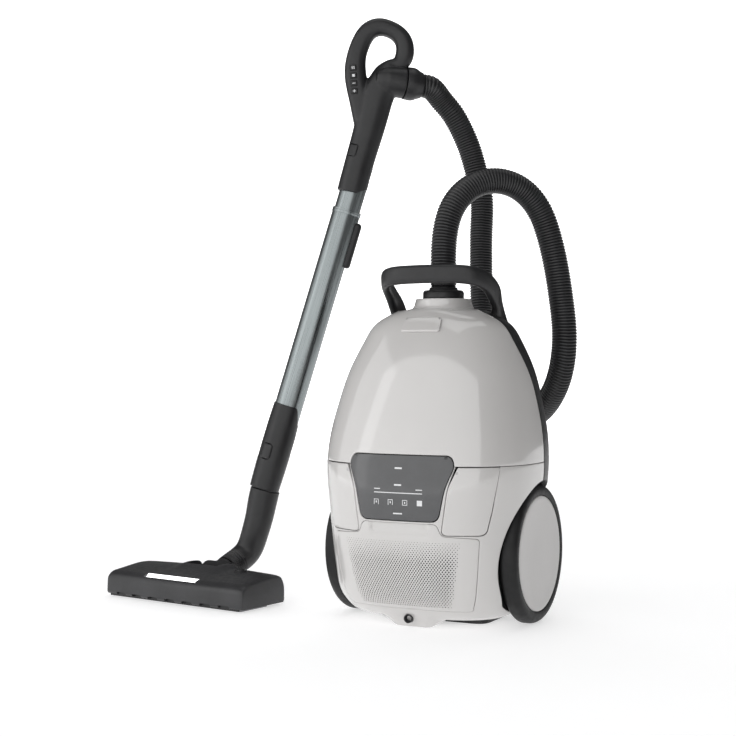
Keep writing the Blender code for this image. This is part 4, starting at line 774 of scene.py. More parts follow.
def pedal_outline(side, grow, top=0.0):
    mid = (PANEL_TOP + PANEL_BOTTOM) / 2
    mid_half = PANEL_BOTTOM_HALF + (PANEL_TOP_HALF - PANEL_BOTTOM_HALF) * 0.42
    inner = SEAM * 2.5 + 0.002
    points = [
        (PANEL_BOTTOM_HALF + inner - grow, PEDAL_BOTTOM - grow),
        (WELL_X - WALL - 0.0025 + grow, PEDAL_BOTTOM - grow),
        (PEDAL_OUTER - 0.008 + grow, PEDAL_BOTTOM + 0.035),
        (PEDAL_OUTER + grow, LID_Z - SEAM + grow + top),
        (PANEL_TOP_HALF + inner - grow, LID_Z - SEAM + grow + top),
        (mid_half + inner - grow, mid),
    ]
    made = rounded(points, [0.008, 0.008, 0.008, 0.0012, 0.0012, 0.008])
    return made if side > 0 else [(-x, z) for x, z in made[::-1]]


# --- Plates cut from the skin --------------------------------------------------------------------------------
def dense(loop, step=0.0016):
    """The loop with points added along its long sides."""
    loop = np.asarray(loop, float)
    made = []
    for here, there in zip(loop, np.roll(loop, -1, axis=0)):
        pieces = max(int(math.ceil(np.linalg.norm(there - here) / step)), 1)
        made += [here + (there - here) * k / pieces for k in range(pieces)]
    return np.array(made)


def within(points, loop):
    """Whether each point lies inside a closed loop."""
    inside = np.zeros(len(points), bool)
    x, y = points[:, 0], points[:, 1]
    for (x0, y0), (x1, y1) in zip(loop, np.roll(loop, -1, axis=0)):
        crosses = (y0 > y) != (y1 > y)
        if crosses.any():
            inside ^= crosses & (x < (x1 - x0) * (y - y0) / (y1 - y0 if y1 != y0 else 1e-12) + x0)
    return inside


def triangulate(points, edges):
    """Constrained triangulation: (points, triangles, index of each input point)."""
    made = delaunay_2d_cdt([Vector(p) for p in points], edges, [], 1, 1e-9, True)
    out = np.array([tuple(p) for p in made[0]])
    index = {}
    for new, olds in enumerate(made[3]):
        for old in olds:
            index[old] = new
    return out, np.array(made[2], int), index


def clean_region(outer, taken):
    """Loops of the region inside the outer loop and outside those that are taken away."""
    loops = [np.asarray(outer)] + [np.asarray(loop) for loop in taken]
    points = np.concatenate(loops)
    edges = []
    start = 0
    for loop in loops:
        edges += [(start + k, start + (k + 1) % len(loop)) for k in range(len(loop))]
        start += len(loop)
    out, triangles, _ = triangulate(points, edges)
    centre = out[triangles].mean(axis=1)
    keep = within(centre, loops[0])
    for loop in loops[1:]:
        keep &= ~within(centre, loop)
    triangles = triangles[keep]
    directed = {}
    for tri in triangles:
        a, b, c = out[tri]
        order = tri if (b[0] - a[0]) * (c[1] - a[1]) - (b[1] - a[1]) * (c[0] - a[0]) > 0 else tri[::-1]
        for k in range(3):
            directed[(int(order[k]), int(order[(k + 1) % 3]))] = True
    ahead = {a: b for a, b in directed if (b, a) not in directed}
    found = []
    while ahead:
        first, here = ahead.popitem()
        ring = [first]
        while here != first:
            ring.append(here)
            here = ahead.pop(here)
        found.append(out[ring])
    found.sort(key=lambda ring: -abs(area_of(ring)))
    return [ring for ring in found if abs(area_of(ring)) > 2e-6]


def area_of(loop):
    x, y = loop[:, 0], loop[:, 1]
    return 0.5 * float(np.sum(x * np.roll(y, -1) - np.roll(x, -1) * y))


def thinned(loop, least=0.0004):
    """The loop without points that nearly coincide."""
    kept = [loop[0]]
    for point in loop[1:]:
        if np.linalg.norm(point - kept[-1]) > least:
            kept.append(point)
    if len(kept) > 3 and np.linalg.norm(kept[0] - kept[-1]) <= least:
        kept.pop()
    return np.array(kept)


def inward(loop, distance):
    """The loop moved into the plate by a distance. The plate lies to the left of the loop."""
    before = loop - np.roll(loop, 1, axis=0)
    after = np.roll(loop, -1, axis=0) - loop
    before /= np.maximum(np.linalg.norm(before, axis=1, keepdims=True), 1e-12)
    after /= np.maximum(np.linalg.norm(after, axis=1, keepdims=True), 1e-12)
    left = np.stack([-(before + after)[:, 1], (before + after)[:, 0]], axis=1)
    size = np.maximum(np.linalg.norm(left, axis=1, keepdims=True), 1e-6)
    stretch = np.clip(2.0 / size, 1.0, 1.5)
    return loop + left / size * distance * stretch


def plate(loops, spacing, edge, depth, lift=0.0, shape=None, holes=(), corners=8, straight=None):
    """Points and faces of a closed plate on the skin with rounded edges.

    loops: places of its outline and of its openings. holes: small round holes (u, rise, radius), with sharp rims.
    shape: extra height over the skin at a place. straight: how far its walls run along Y, not square to the skin.
    """
    rim = [(0.0, depth), (0.0, edge)]
    for k in range(1, 5):
        angle = math.pi / 2 * k / 4
        rim.append((edge * (1 - math.cos(angle)), edge * (1 - math.sin(angle))))
    places, drops, faces, border, owner = [], [], [], [], []

    def add(block_places, drop):
        start = sum(len(b) for b in places)
        places.append(block_places)
        drops.append(np.full(len(block_places), drop))
        return start

    def join(first, second, count):
        for k in range(count):
            n = (k + 1) % count
            faces.append([first + k, first + n, second + n, second + k])

    bottoms = []
    for loop in loops:
        starts = [add(inward(loop, offset), drop) for offset, drop in rim]
        for first, second in zip(starts, starts[1:]):
            join(first, second, len(loop))
        border.append((starts[-1], len(loop)))
        bottoms.append((starts[0], len(loop)))
    for u, rise, radius in holes:
        angles = -2 * math.pi * np.arange(corners) / corners
        ring = np.stack([u + radius * np.cos(angles), rise + radius * np.sin(angles)], axis=1)
        low, high = add(ring, depth), add(ring, 0.0)
        join(low, high, corners)
        border.append((high, corners))
        bottoms.append((low, corners))
    flat = np.concatenate(places)
    ring_points = [flat[start:start + count] for start, count in border]
    outer = ring_points[0]
    low, high = outer.min(axis=0), outer.max(axis=0)
    nx, ny = ((high - low) / spacing).astype(int)
    grid_u, grid_v = np.meshgrid(np.linspace(low[0], high[0], nx + 2), np.linspace(low[1], high[1], ny + 2))
    grid = np.stack([grid_u.ravel(), grid_v.ravel()], axis=1)
    keep = within(grid, outer)
    for ring in ring_points[1:len(loops)]:
        keep &= ~within(grid, ring)
    grid = grid[keep]
    near = np.concatenate(ring_points)
    keep = np.ones(len(grid), bool)
    for start in range(0, len(grid), 400):
        part = grid[start:start + 400]
        gap = np.min(np.linalg.norm(part[:, None] - near[None], axis=2), axis=1)
        keep[start:start + 400] = gap > spacing * 0.55
    grid = grid[keep]
    grid_start = add(grid, 0.0)
    inputs = np.concatenate(ring_points + [grid])
    targets, edges, owners = [], [], []
    position = 0
    for number, (start, count) in enumerate(border):
        edges += [(position + k, position + (k + 1) % count) for k in range(count)]
        targets += list(range(start, start + count))
        owners += [number] * count
        position += count
    targets += list(range(grid_start, grid_start + len(grid)))
    owners += [-1] * len(grid)
    out, triangles, index = triangulate(inputs, edges)
    back = {new: old for old, new in index.items()}
    centre = out[triangles].mean(axis=1)
    keep = within(centre, outer)
    for ring in ring_points[1:len(loops)]:
        keep &= ~within(centre, ring)
    top = []
    for tri, good in zip(triangles, keep):
        if not good or any(int(i) not in back for i in tri):
            continue
        olds = [back[int(i)] for i in tri]
        kinds = {owners[i] for i in olds}
        if len(kinds) == 1 and kinds.pop() >= len(loops):
            continue
        a, b, c = inputs[olds]
        if (b[0] - a[0]) * (c[1] - a[1]) - (b[1] - a[1]) * (c[0] - a[0]) < 0:
            olds = olds[::-1]
        top.append([targets[i] for i in olds])
    faces += top
    total = sum(len(b) for b in places)
    flat = np.concatenate(places)
    drop = np.concatenate(drops)
    under = {}
    for (start, count), (bottom, _), number in zip(border, bottoms, range(len(border))):
        if number < len(loops):
            first = total + sum(1 for _ in under)
            for k in range(count):
                under[start + k] = first + k
            join(first, bottom, count)
        else:
            for k in range(count):
                under[start + k] = None
    extra = [i for i, new in under.items() if new is not None]
    lookup = {i: total + k for k, i in enumerate(extra)}
    faces = [face for face in faces if max(face) < total]
    for (start, count), (bottom, _), number in zip(border, bottoms, range(len(border))):
        if number < len(loops):
            for k in range(count):
                n = (k + 1) % count
                faces.append([lookup[start + k], lookup[start + n], bottom + n, bottom + k])
        else:
            for k in range(count):
                lookup[start + k] = bottom + k
    grid_under = total + len(extra)
    for k in range(len(grid)):
        lookup[grid_start + k] = grid_under + k
    faces += [[lookup[i] for i in tri[::-1]] for tri in top]
    flat = np.concatenate([flat, flat[extra], grid])
    drop = np.concatenate([drop, np.full(len(extra) + len(grid), depth)])
    lifts = lift - np.minimum(drop, edge)
    if shape is not None:
        lifts = lifts + shape(flat[:, 0], flat[:, 1])
    sunk = np.maximum(drop - edge, 0.0)
    below = skin(flat[:, 0], flat[:, 1], lifts - sunk)
    if straight is None:
        return below, faces
    share = straight(flat[:, 1], skin(flat[:, 0], flat[:, 1], lifts))[:, None]
    behind = skin(flat[:, 0], flat[:, 1], lifts) + sunk[:, None] * (0.0, 1.0, 0.0)
    return below * (1 - share) + behind * share, faces


def body_edge(low, high, gap, steps=60):
    """Right seam from a low to a high place up the skin."""
    rise = np.linspace(low, high, steps)
    return np.stack([seam_u(rise, gap), rise], axis=1)


def front_region(low, high, gap):
    """Outline of the front between two heights, counter-clockwise, up to the seam on both sides."""
    right = body_edge(low, high, gap)
    left = right[::-1] * (-1, 1)
    return dense(np.concatenate([right, left]))


def build_lid():
    outer = front_region(LID_Z + SEAM / 2 - BASE, HEIGHT + CAP, -SEAM / 2)
    notch = dense(on_front(panel_outline(SEAM)))
    loops = [thinned(loop) for loop in clean_region(outer, [notch])]
    points, faces = plate(loops[:1], 0.0050, 0.0010, WALL)
    finish_piece("lid_shell", points, faces, WHITE, "lid", ["dust_lid"])


def beak(points):
    """Draws the lower edge of the front down and out into a spout."""
    x, z = points[:, 0], points[:, 2]
    width = np.clip((0.047 - np.abs(x)) / 0.027, 0.0, 1.0)
    width = width * width * (3 - 2 * width)
    reach = np.clip((0.0268 - z) / 0.0145, 0.0, 1.0) ** 1.5
    front = np.clip((-0.055 - points[:, 1]) / 0.02, 0.0, 1.0)
    pull = width * reach * front
    moved = points.copy()
    moved[:, 2] = np.maximum(z - 0.0120 * pull, 0.0004)
    moved[:, 1] -= 0.0020 * pull
    return moved


def press_walls(rise, points):
    """The walls round the pedals run along Y, the way that the pedals are pressed."""
    out = np.abs(points[:, 0]) / section(rise)[0]
    return (1 - ease(out, 0.915, 0.985)) * ease(rise + BASE, 0.105, 0.127)


def build_body():
    outer = front_region(-BOTTOM_CAP, LID_Z - SEAM / 2 - BASE, -SEAM / 2)
    well, _ = well_outline(0.0)
    taken = [dense(on_front(panel_outline(SEAM))), dense(on_front(cover_outline(SEAM / 4)))]
    taken += [dense(on_front(pedal_outline(side, SEAM / 2, 0.008))) for side in (-1, 1)]
    taken += [dense(well), dense(well[::-1] * (-1, 1))]
    loops = [thinned(loop) for loop in clean_region(outer, taken)]
    points, faces = plate(loops, 0.0045, 0.0008, WALL, straight=press_walls)
    points = beak(np.asarray(points))
    body = finish_piece("body_front_shell", points, faces, WHITE, "canister", ["body_shell"])
    return body


def recess(u, rise):
    """A shallow scoop for the fingers at the top of the exhaust cover."""
    z = rise + BASE
    x = np.abs(u)
    top = COVER_TOP - 0.0004
    corner = 0.006
    along = np.maximum(x - (0.050 - corner), 0.0)
    down = np.maximum((top - 0.0165 + corner) - z, 0.0)
    edge = corner - np.hypot(along, down)
    return -0.0030 * ease(edge, 0.0, 0.0042)


def grille_holes():
    """Staggered holes of the exhaust grille, smaller towards its upper and outer edges."""
    made = []
    pitch_u, pitch_v = 0.0047, 0.0027
    rows = int((0.1215 - 0.0335) / pitch_v)
    for row in range(rows + 1):
        z = 0.0335 + row * pitch_v
        half = 0.086 + (z - 0.0335) * 0.10
        for k in range(-24, 25):
            u = (k + 0.5 * (row % 2)) * pitch_u
            if abs(u) > half:
                continue
            top = min(max((0.1235 - z) / 0.030, 0.0), 1.0)
            side = min(max((half + 0.002 - abs(u)) / 0.012, 0.0), 1.0)
            low = min(max((z - 0.0300) / 0.012, 0.0), 1.0)
            made.append((u, z - BASE, 0.00040 + 0.00086 * top * (0.30 + 0.70 * side) * (0.75 + 0.25 * low)))
    return made


def build_cover():
    loop = thinned(dense(on_front(cover_outline(-SEAM / 4))))
    points, faces = plate([loop], 0.0036, 0.0008, WALL, shape=recess, holes=grille_holes(), corners=7)
    finish_piece("exhaust_grille_cover", points, faces, WHITE, "rear_cover", ["exhaust_cover"])
    # Painted shade: a black sheet just under the cover, so that the grille holes show dark as the shade inside them
    # would.
    mat = rounded([(-0.088, 0.034), (0.088, 0.034), (0.094, 0.1215), (-0.094, 0.1215)], 0.008)
    points, faces = plate([thinned(dense(on_front(mat)))], 0.0080, 0.0003, 0.0006, lift=-0.0034)
    finish_piece("grille_backing", points, faces, BLACK, "rear_cover")


def build_pedals():
    for side, label in ((-1, "left"), (1, "right")):
        loop = thinned(dense(on_front(pedal_outline(side, -SEAM / 2))))
        points, faces = plate(
            [loop], 0.0045, 0.0016, WALL, lift=0.0004, straight=lambda rise, points: np.ones(len(points))
        )
        finish_piece(
            "pedal_wing_" + label, points, faces, WHITE, label + "_pedal", ["pedal_" + label]
        )


def build_panel():
    loop = thinned(dense(on_front(panel_outline(-SEAM / 2))))
    points, faces = plate([loop], 0.0045, 0.0010, WALL, lift=-0.0002)
    finish_piece("control_panel_face", points, faces, PANEL, "canister", ["control_panel"])
    build_icons()


def strip(x0, x1, z0, z1):
    return [(x0, z0), (x1, z0), (x1, z1), (x0, z1)]


def build_icons():
    """Printed marks of the panel: a line with its stops, four plain squares and short dashes."""
    mid = 0.184
    marks = [strip(-0.035, 0.035, mid - 0.0006, mid + 0.0006)]
    marks += [strip(x - 0.0045, x + 0.0045, mid + 0.0042, mid + 0.0054) for x in (-0.0305, 0.0305)]
    marks += [strip(x - 0.0052, x + 0.0052, z - 0.0011, z + 0.0011) for x, z in ((0, 0.2165), (0, 0.1945))]
    marks += [strip(-0.0065, 0.0065, 0.1560, 0.1578)]
    for k, x in enumerate((-0.0315, -0.0105, 0.0105, 0.0315)):
        size = 0.0036
        bar = 0.0008
        z = 0.1715
        if k == 3:
            marks.append(strip(x - size, x + size, z - size, z + size))
            continue
        marks.append(strip(x - size, x + size, z + size - bar, z + size))
        marks.append(strip(x - size, x - size + bar, z - size, z + size - 1.3 * bar))
        marks.append(strip(x + size - bar, x + size, z - size, z + size - 1.3 * bar))
        if k == 2:
            marks.append(strip(x - size + 1.3 * bar, x + size - 1.3 * bar, z - size, z - size + bar))
        marks.append(strip(x - bar, x + bar, z - size * 0.4, z + size * 0.35))
    points, faces = [], []
    for mark in marks:
        loop = dense(on_front(mark[::1]), 0.003)
        made, cells = plate([loop], 0.01, 0.00005, 0.0002, lift=0.0000)
        faces += [[i + len(points) for i in cell] for cell in cells]
        points += list(made)
    finish_piece("panel_icons", points, faces, PRINT, "canister")


def build_latch():
    low, high = BASE + HEIGHT * 0.925, BASE + HEIGHT * 0.970
    outline = rounded([(-0.029, low), (0.029, low), (0.027, high), (-0.027, high)], 0.0045)
    loop = thinned(dense(on_front(outline)))
    points, faces = plate([loop], 0.0035, 0.0013, 0.0032, lift=0.0036)
    finish_piece("latch_plate", points, faces, WHITE, "latch", ["lid_latch"])


def build_chassis():
    """The black rear shell, from seam to seam round the back."""
    right = body_edge(-BOTTOM_CAP, HEIGHT + CAP, SEAM / 2, 110)
    turn = 2 * math.pi * AROUND
    left = right[::-1] * (-1, 1) + (turn, 0)
    outer = dense(np.concatenate([left[::-1], right[::-1]]))[::-1]
    if area_of(outer) < 0:
        outer = outer[::-1]
    well, _ = well_outline(0.0)
    taken = [dense(well), dense(well[::-1] * (-1, 1) + (turn, 0))]
    loops = [thinned(loop) for loop in clean_region(outer, taken)]
    points, faces = plate(loops, 0.0060, 0.0012, WALL)
    finish_piece("chassis_rear_shell", points, faces, HANDLE_BLACK, "canister", ["chassis_shell"])


def build_wells():
    """Dark pans that close the wheel wells behind the wheels."""
    _, places = well_outline(-0.0004)
    for side, label in ((-1, "left"), (1, "right")):
        wall_x = WELL_X - 0.0008
        rings = []
        for depth_x in (wall_x - 0.0010, wall_x):
            hub = 0.0066
            centre = [
                (side * depth_x, hub * math.cos(a), WHEEL_Z + hub * math.sin(a))
                for a in np.linspace(0.0, 2 * math.pi, len(places), endpoint=False)
            ]
            rim = [(side * depth_x, y, z) for _, y, z, _ in places]
            rings.append((centre, rim))
        lip = [(side * max(x - 0.0006, wall_x), y, z) for x, y, z, _ in places]
        inner = [
            (side * max(x - 0.0006, wall_x), y * 0.992, WHEEL_Z + (z - WHEEL_Z) * 0.992) for x, y, z, _ in places
        ]
        loops = [rings[0][0], rings[0][1], lip, inner, [(side * wall_x, p[1], p[2]) for p in inner], rings[1][0]]
        count = len(places)
        points = [p for loop in loops for p in loop]
        faces = grid_faces(len(loops), count)
        faces += [[5 * count + k, 5 * count + (k + 1) % count, (k + 1) % count, k] for k in range(count)]
        finish_piece("wheel_well_" + label, points, faces, BLACK, "canister", ())


# --- Collar, connector, hose, cuff ---------------------------------------------------------------------------
def build_collar():
    top = BASE + HEIGHT
    high = top + 0.0165
    profile = [
        (0.0222, high), (0.0385, high), (0.0402, top + 0.0085), (0.0428, top + 0.0030), (0.0505, top + 0.0012),
        (0.0505, top - 0.005), (0.0265, top - 0.005), (0.0265, top - 0.032), (0.0222, top - 0.032),
    ]
    radii = [0.0008, 0.0016, 0.010, 0.008, 0.0008, 0.0006, 0.001, 0.0005, 0.0005]
    points, faces = lathe(round_profile(profile, radii, 6)[::-1], Matrix.Translation((0, INLET_Y, 0)), 128)
    finish_piece("inlet_collar_ring", points, faces, WHITE, "canister", ["inlet_collar"])


def build_connector():
    low = BASE + HEIGHT + 0.0165 + 0.0005
    profile = [
        (0.0165, low + 0.0155), (0.0196, low + 0.0155), (0.0200, low + 0.0118), (0.0286, low + 0.0116),
        (0.0288, low), (0.0216, low), (0.0216, low - 0.028), (0.0165, low - 0.028),
    ]
    radii = [0.0004, 0.001, 0.0010, 0.0095, 0.0012, 0.0004, 0.0005, 0.0005]
    points, faces = lathe(round_profile(profile, radii, 5)[::-1], Matrix.Translation((0, INLET_Y, 0)), 96)
    dome = loose_object("hose_connector_dome", points, faces)
    z = low + 0.0052
    for side in (-1, 1):
        ends = sorted((side * 0.0225, side * 0.04))
        cutter = block("cut", (ends[0], INLET_Y - 0.0062, z - 0.0032), (ends[1], INLET_Y + 0.0062, z + 0.0032))
        dome = boolean(dome, cutter)
    dress(dome, HANDLE_BLACK, "canister", ["hose_connector"], 35.0)


def hose_line():
    """Centreline of the hose from the connector to the cuff."""
    start = (0.0, INLET_Y, BASE + HEIGHT + 0.0165 + 0.0005 + 0.0155 + 0.0003)
    cuff_end = CUFF_CENTRE + CUFF_AXIS * (0.0010 + 0.0275 + 0.0003)
    lead = CUFF_AXIS * 0.012
    return (start, (start[0], start[1], start[2] + 0.012)) + HOSE_ROUTE[1:-2] + (
        tuple(cuff_end + lead), tuple(cuff_end),
    )


def build_hose():
    route = hose_line()
    rough_length = len(route) * 0.06
    fine = smooth_line(route, int(rough_length / HOSE_RIB_PITCH) * 6)
    length = float(np.sum(np.linalg.norm(np.diff(fine, axis=0), axis=1)))
    ribs = int(round(length / HOSE_RIB_PITCH))
    per_rib = 8
    line = smooth_line(route, ribs * per_rib + 1)
    tangents = np.gradient(line, axis=0)
    tangents /= np.linalg.norm(tangents, axis=1, keepdims=True)
    side = np.array((1.0, 0.0, 0.0))
    centres, sides, ups, halves = [], [], [], []
    crest = HOSE_DIAMETER / 2
    for i, (point, run) in enumerate(zip(line, tangents)):
        side = side - run * float(side @ run)
        side /= np.linalg.norm(side)
        phase = (i % per_rib) / per_rib
        wave = 0.5 + 0.5 * math.cos(2 * math.pi * phase)
        radius = crest - 0.0015 * (1 - wave) ** 2.4
        if i < 2 or i > len(line) - 3:
            radius = crest - 0.0012
        centres.append(point)
        sides.append(side)
        ups.append(np.cross(run, side))
        halves.append((radius, radius))
    points, faces = ring_sweep(centres, sides, ups, halves, [2.0] * len(line), 40)
    hose = finish_piece("hose_ribbed", points, faces, HOSE, "canister", ["hose"], 70.0)
    return length


def build_cuff():
    turn = CUFF_AXIS.to_track_quat("Z", "Y").to_matrix().to_4x4()
    place = Matrix.Translation(CUFF_CENTRE) @ turn
    start, end = 0.0010, 0.0285
    profile = [
        (0.0150, end), (0.0193, end), (0.0215, end - 0.006), (0.0250, end - 0.0125), (0.0256, 0.011),
        (0.0248, start), (0.0150, start),
    ]
    radii = [0.0004, 0.0012, 0.006, 0.006, 0.004, 0.0008, 0.0004]
    points, faces = lathe(round_profile(profile, radii, 6)[::-1], place, 96)
    finish_piece("hose_cuff_shell", points, faces, HANDLE_BLACK, "canister", ["hose_cuff"])


# --- Handle --------------------------------------------------------------------------------------------------
def build_handle():
    """The carrying strap, through the same stations as its frame node, with finer rings."""
    foot_z = BASE + HEIGHT * 0.962
    half = [
        (0.0735, 0.0130, foot_z - 0.0005, 0.25, 0.0, -0.97, 0.0120, 0.0165),
        (0.0765, 0.0080, foot_z + 0.018, 0.97, 0.0, 0.25, 0.0072, 0.0142),
        (0.0785, -0.0060, foot_z + 0.036, 0.97, -0.2, 0.1, 0.0070, 0.0130),
        (0.0770, -0.0260, foot_z + 0.051, 0.93, -0.35, 0.0, 0.0068, 0.0125),
        (0.0685, -0.0455, foot_z + 0.060, 0.72, -0.69, 0.0, 0.0070, 0.0127),
        (0.0510, -0.0565, foot_z + 0.0635, 0.36, -0.93, 0.0, 0.0072, 0.0128),
        (0.0260, -0.0605, foot_z + 0.0645, 0.10, -0.99, 0.0, 0.0073, 0.0128),
        (0.0000, -0.0612, foot_z + 0.0648, 0.0, -1.0, 0.0, 0.0073, 0.0128),
    ]
    rows = half + [(-x, y, z, -a, b, c, d, e) for x, y, z, a, b, c, d, e in half[-2::-1]]
    line = smooth_line(rows, 150)
    runs = np.gradient(line[:, :3], axis=0)
    runs /= np.linalg.norm(runs, axis=1, keepdims=True)
    across = line[:, 3:6]
    across = across - runs * np.sum(across * runs, axis=1, keepdims=True)
    across /= np.linalg.norm(across, axis=1, keepdims=True)
    ups = np.cross(runs, across)
    points, faces = ring_sweep(line[:, :3], across, ups, line[:, 6:8], [3.0] * len(line), 48)
    finish_piece("carry_strap", points, faces, HANDLE_BLACK, "canister", ["carry_handle"], 50.0)


# --- Wheels --------------------------------------------------------------------------------------------------
def axle_frame(side):
    return Matrix.Translation((0, 0, WHEEL_Z)) @ Matrix.Rotation(side * math.pi / 2, 4, "Y")


def build_wheels():
    outer_x, inner_x, hub = 0.1435, 0.1195, 0.0785
    for side, label in ((-1, "left"), (1, "right")):
        tyre = [
            (hub + 0.0006, outer_x - 0.0012), (0.0845, outer_x), (0.0905, outer_x - 0.0012),
            (0.0950, outer_x - 0.0075), (0.0950, inner_x + 0.004), (0.0915, inner_x), (hub + 0.0006, inner_x),
        ]
        radii = [0.0008, 0.004, 0.004, 0.005, 0.003, 0.002, 0.0005]
        profile = round_profile(tyre, radii, 6)
        points, faces = lathe(profile[::-1], axle_frame(side), 160)
        finish_piece(
            "tyre_" + label, points, faces, RUBBER, label + "_wheel", ["wheel_tyre_" + label]
        )
        disc = [
            (0.0, outer_x - 0.0030), (0.030, outer_x - 0.0028), (0.055, outer_x - 0.0021),
            (hub - 0.0045, outer_x - 0.0006), (hub - 0.0002, outer_x - 0.0012), (hub - 0.0002, inner_x + 0.002),
            (hub - 0.003, inner_x + 0.002), (hub - 0.003, outer_x - 0.0075), (0.011, outer_x - 0.0075),
            (0.011, inner_x + 0.001), (0.0062, inner_x + 0.001), (0.0062, outer_x - 0.0065), (0.0, outer_x - 0.0065),
        ]
        radii = [0.0, 0.01, 0.01, 0.002, 0.0010] + [0.0005] * 7 + [0.0]
        points, faces = lathe(round_profile(disc, radii, 5)[::-1], axle_frame(side), 160)
        finish_piece(
            "wheel_disc_" + label, points, faces, DISC, label + "_wheel", ["wheel_hub_" + label]
        )


# --- Wand ----------------------------------------------------------------------------------------------------
def build_tubes():
    place = wand_frame()
    inner = round_profile([(0.0186, 0.640), (0.0200, 0.640), (0.0200, 0.250), (0.0186, 0.250)], 0.0003, 2)
    points, faces = lathe(inner[::-1], place, 96)
    finish_piece("inner_tube_polished", points, faces, METAL, "handle", ["inner_tube"])
    outer = round_profile([(0.0203, 0.567), (0.0217, 0.567), (0.0217, 0.200), (0.0203, 0.200)], 0.0003, 2)
    points, faces = lathe(outer[::-1], place, 96)
    finish_piece("outer_tube_anodised", points, faces, METAL, "lower_wand", ["outer_tube"])


def build_collar_ring():
    """The band at the top of the outer tube, with a fine groove."""
    top, low = 0.567, 0.560
    profile = [
        (0.0219, top), (0.0224, top), (0.0226, top - 0.0020), (0.0222, top - 0.0028), (0.0226, top - 0.0036),
        (0.0224, low), (0.0219, low),
    ]
    points, faces = lathe(round_profile(profile, 0.0005, 3)[::-1], wand_frame(), 96)
    finish_piece("tube_collar_ring", points, faces, METAL, "lower_wand", ["tube_collar"])


def build_pad():
    """The thumb pad of the telescope: a rounded slider with fine cross ridges."""
    low, high = (0.0076, -0.0108, 0.4802), (0.0290, 0.0108, 0.5518)
    pad = block("telescope_pad", low, high, wand_frame(), 0.0052, 6)
    core = rod("cut", wand_point(0, 0, 0.45), wand_point(0, 0, 0.58), 0.0219, segments=96)
    pad = boolean(pad, core)
    for k in range(7):
        z = 0.5300 + 0.0026 * k
        cutter = block("cut", (0.0284, -0.0075, z), (0.0310, 0.0075, z + 0.0011), wand_frame())
        pad = boolean(pad, cutter)
    dress(pad, BLACK, "telescope_release", ["telescope_slider"], 35.0)


def slanted_top(point, top, reach, drop):
    """Lowers the rim of a sleeve on the side that faces +X of the wand."""
    angle = math.atan2(point[1], point[0])
    facing = float(ease(math.cos(angle - 0.25), 0.35, 0.98))
    share = float(ease(point[2], top - reach, top))
    return drop * facing * share


def build_sleeve():
    """The lower sleeve: a socket with a scalloped rim, which grips the tube and the neck."""
    top, bore = 0.2515, 0.0220
    profile = [
        (bore, top), (0.0231, top), (0.0240, 0.226), (0.0242, 0.190), (0.0238, 0.150), (0.0228, 0.1172),
        (0.0165, 0.1172), (0.0165, 0.1994), (bore, 0.1994),
    ]
    rough = round_profile(profile, [0.0003, 0.0008, 0.008, 0.010, 0.010, 0.0012, 0.0005, 0.0005, 0.0005], 6)
    fine = dense_profile(rough, 0.003)
    points, faces = lathe(fine[::-1], Matrix.Identity(4), 96)
    place = wand_frame()
    moved = []
    for p in points:
        if math.hypot(p[0], p[1]) > bore - 0.0005:
            p = Vector((p[0], p[1], p[2] - slanted_top(p, top, 0.070, 0.027)))
        moved.append(place @ p)
    sleeve = loose_object("wand_sleeve_shell", moved, faces)
    cutter = block("cut", (-0.0090, -0.03, 0.1628), (0.0090, -0.0160, 0.1888), button_frame(-32.0), 0.006)
    sleeve = boolean(sleeve, cutter)
    dress(sleeve, HANDLE_BLACK, "lower_wand", ["wand_sleeve"], 35.0)


def dense_profile(points, step):
    made = []
    for here, there in zip(points, points[1:] + points[:1]):
        pieces = max(int(math.dist(here, there) / step), 1)
        made += [tuple(Vector(here).lerp(Vector(there), k / pieces)) for k in range(pieces)]
    return made


def button_frame(turn_deg):
    """The wand's frame turned about its own axis, so that a button is pressed along Y."""
    return wand_frame() @ Matrix.Rotation(math.radians(turn_deg), 4, "Z")


def press_frame(z):
    """At a grip key: X is the way that the key is pressed, and Z runs along the stem."""
    press = Vector((0.0, 1.0, 0.0))
    along = Vector((-0.337, 0.0, 0.941))
    return wand_frame() @ axes_frame(Vector((-0.0412, -0.014, 0.7449)) + along * z, press, along.cross(press), along)


def loft_object(name, rows, across, square, count=40, steps=70):
    """A loft of rings whose rows are (x, y, z, side half, up half), across being the rings' up direction."""
    line = smooth_line(rows, steps)
    runs = np.gradient(line[:, :3], axis=0)
    runs /= np.linalg.norm(runs, axis=1, keepdims=True)
    ups = np.tile(np.asarray(across, float), (steps, 1))
    sides = np.cross(ups, runs)
    sides /= np.linalg.norm(sides, axis=1, keepdims=True)
    ups = np.cross(runs, sides)
    points, faces = ring_sweep(line[:, :3], sides, ups, line[:, 3:5], [square] * steps, count)
    place = wand_frame()
    return loose_object(name, [place @ Vector(p) for p in points], faces)


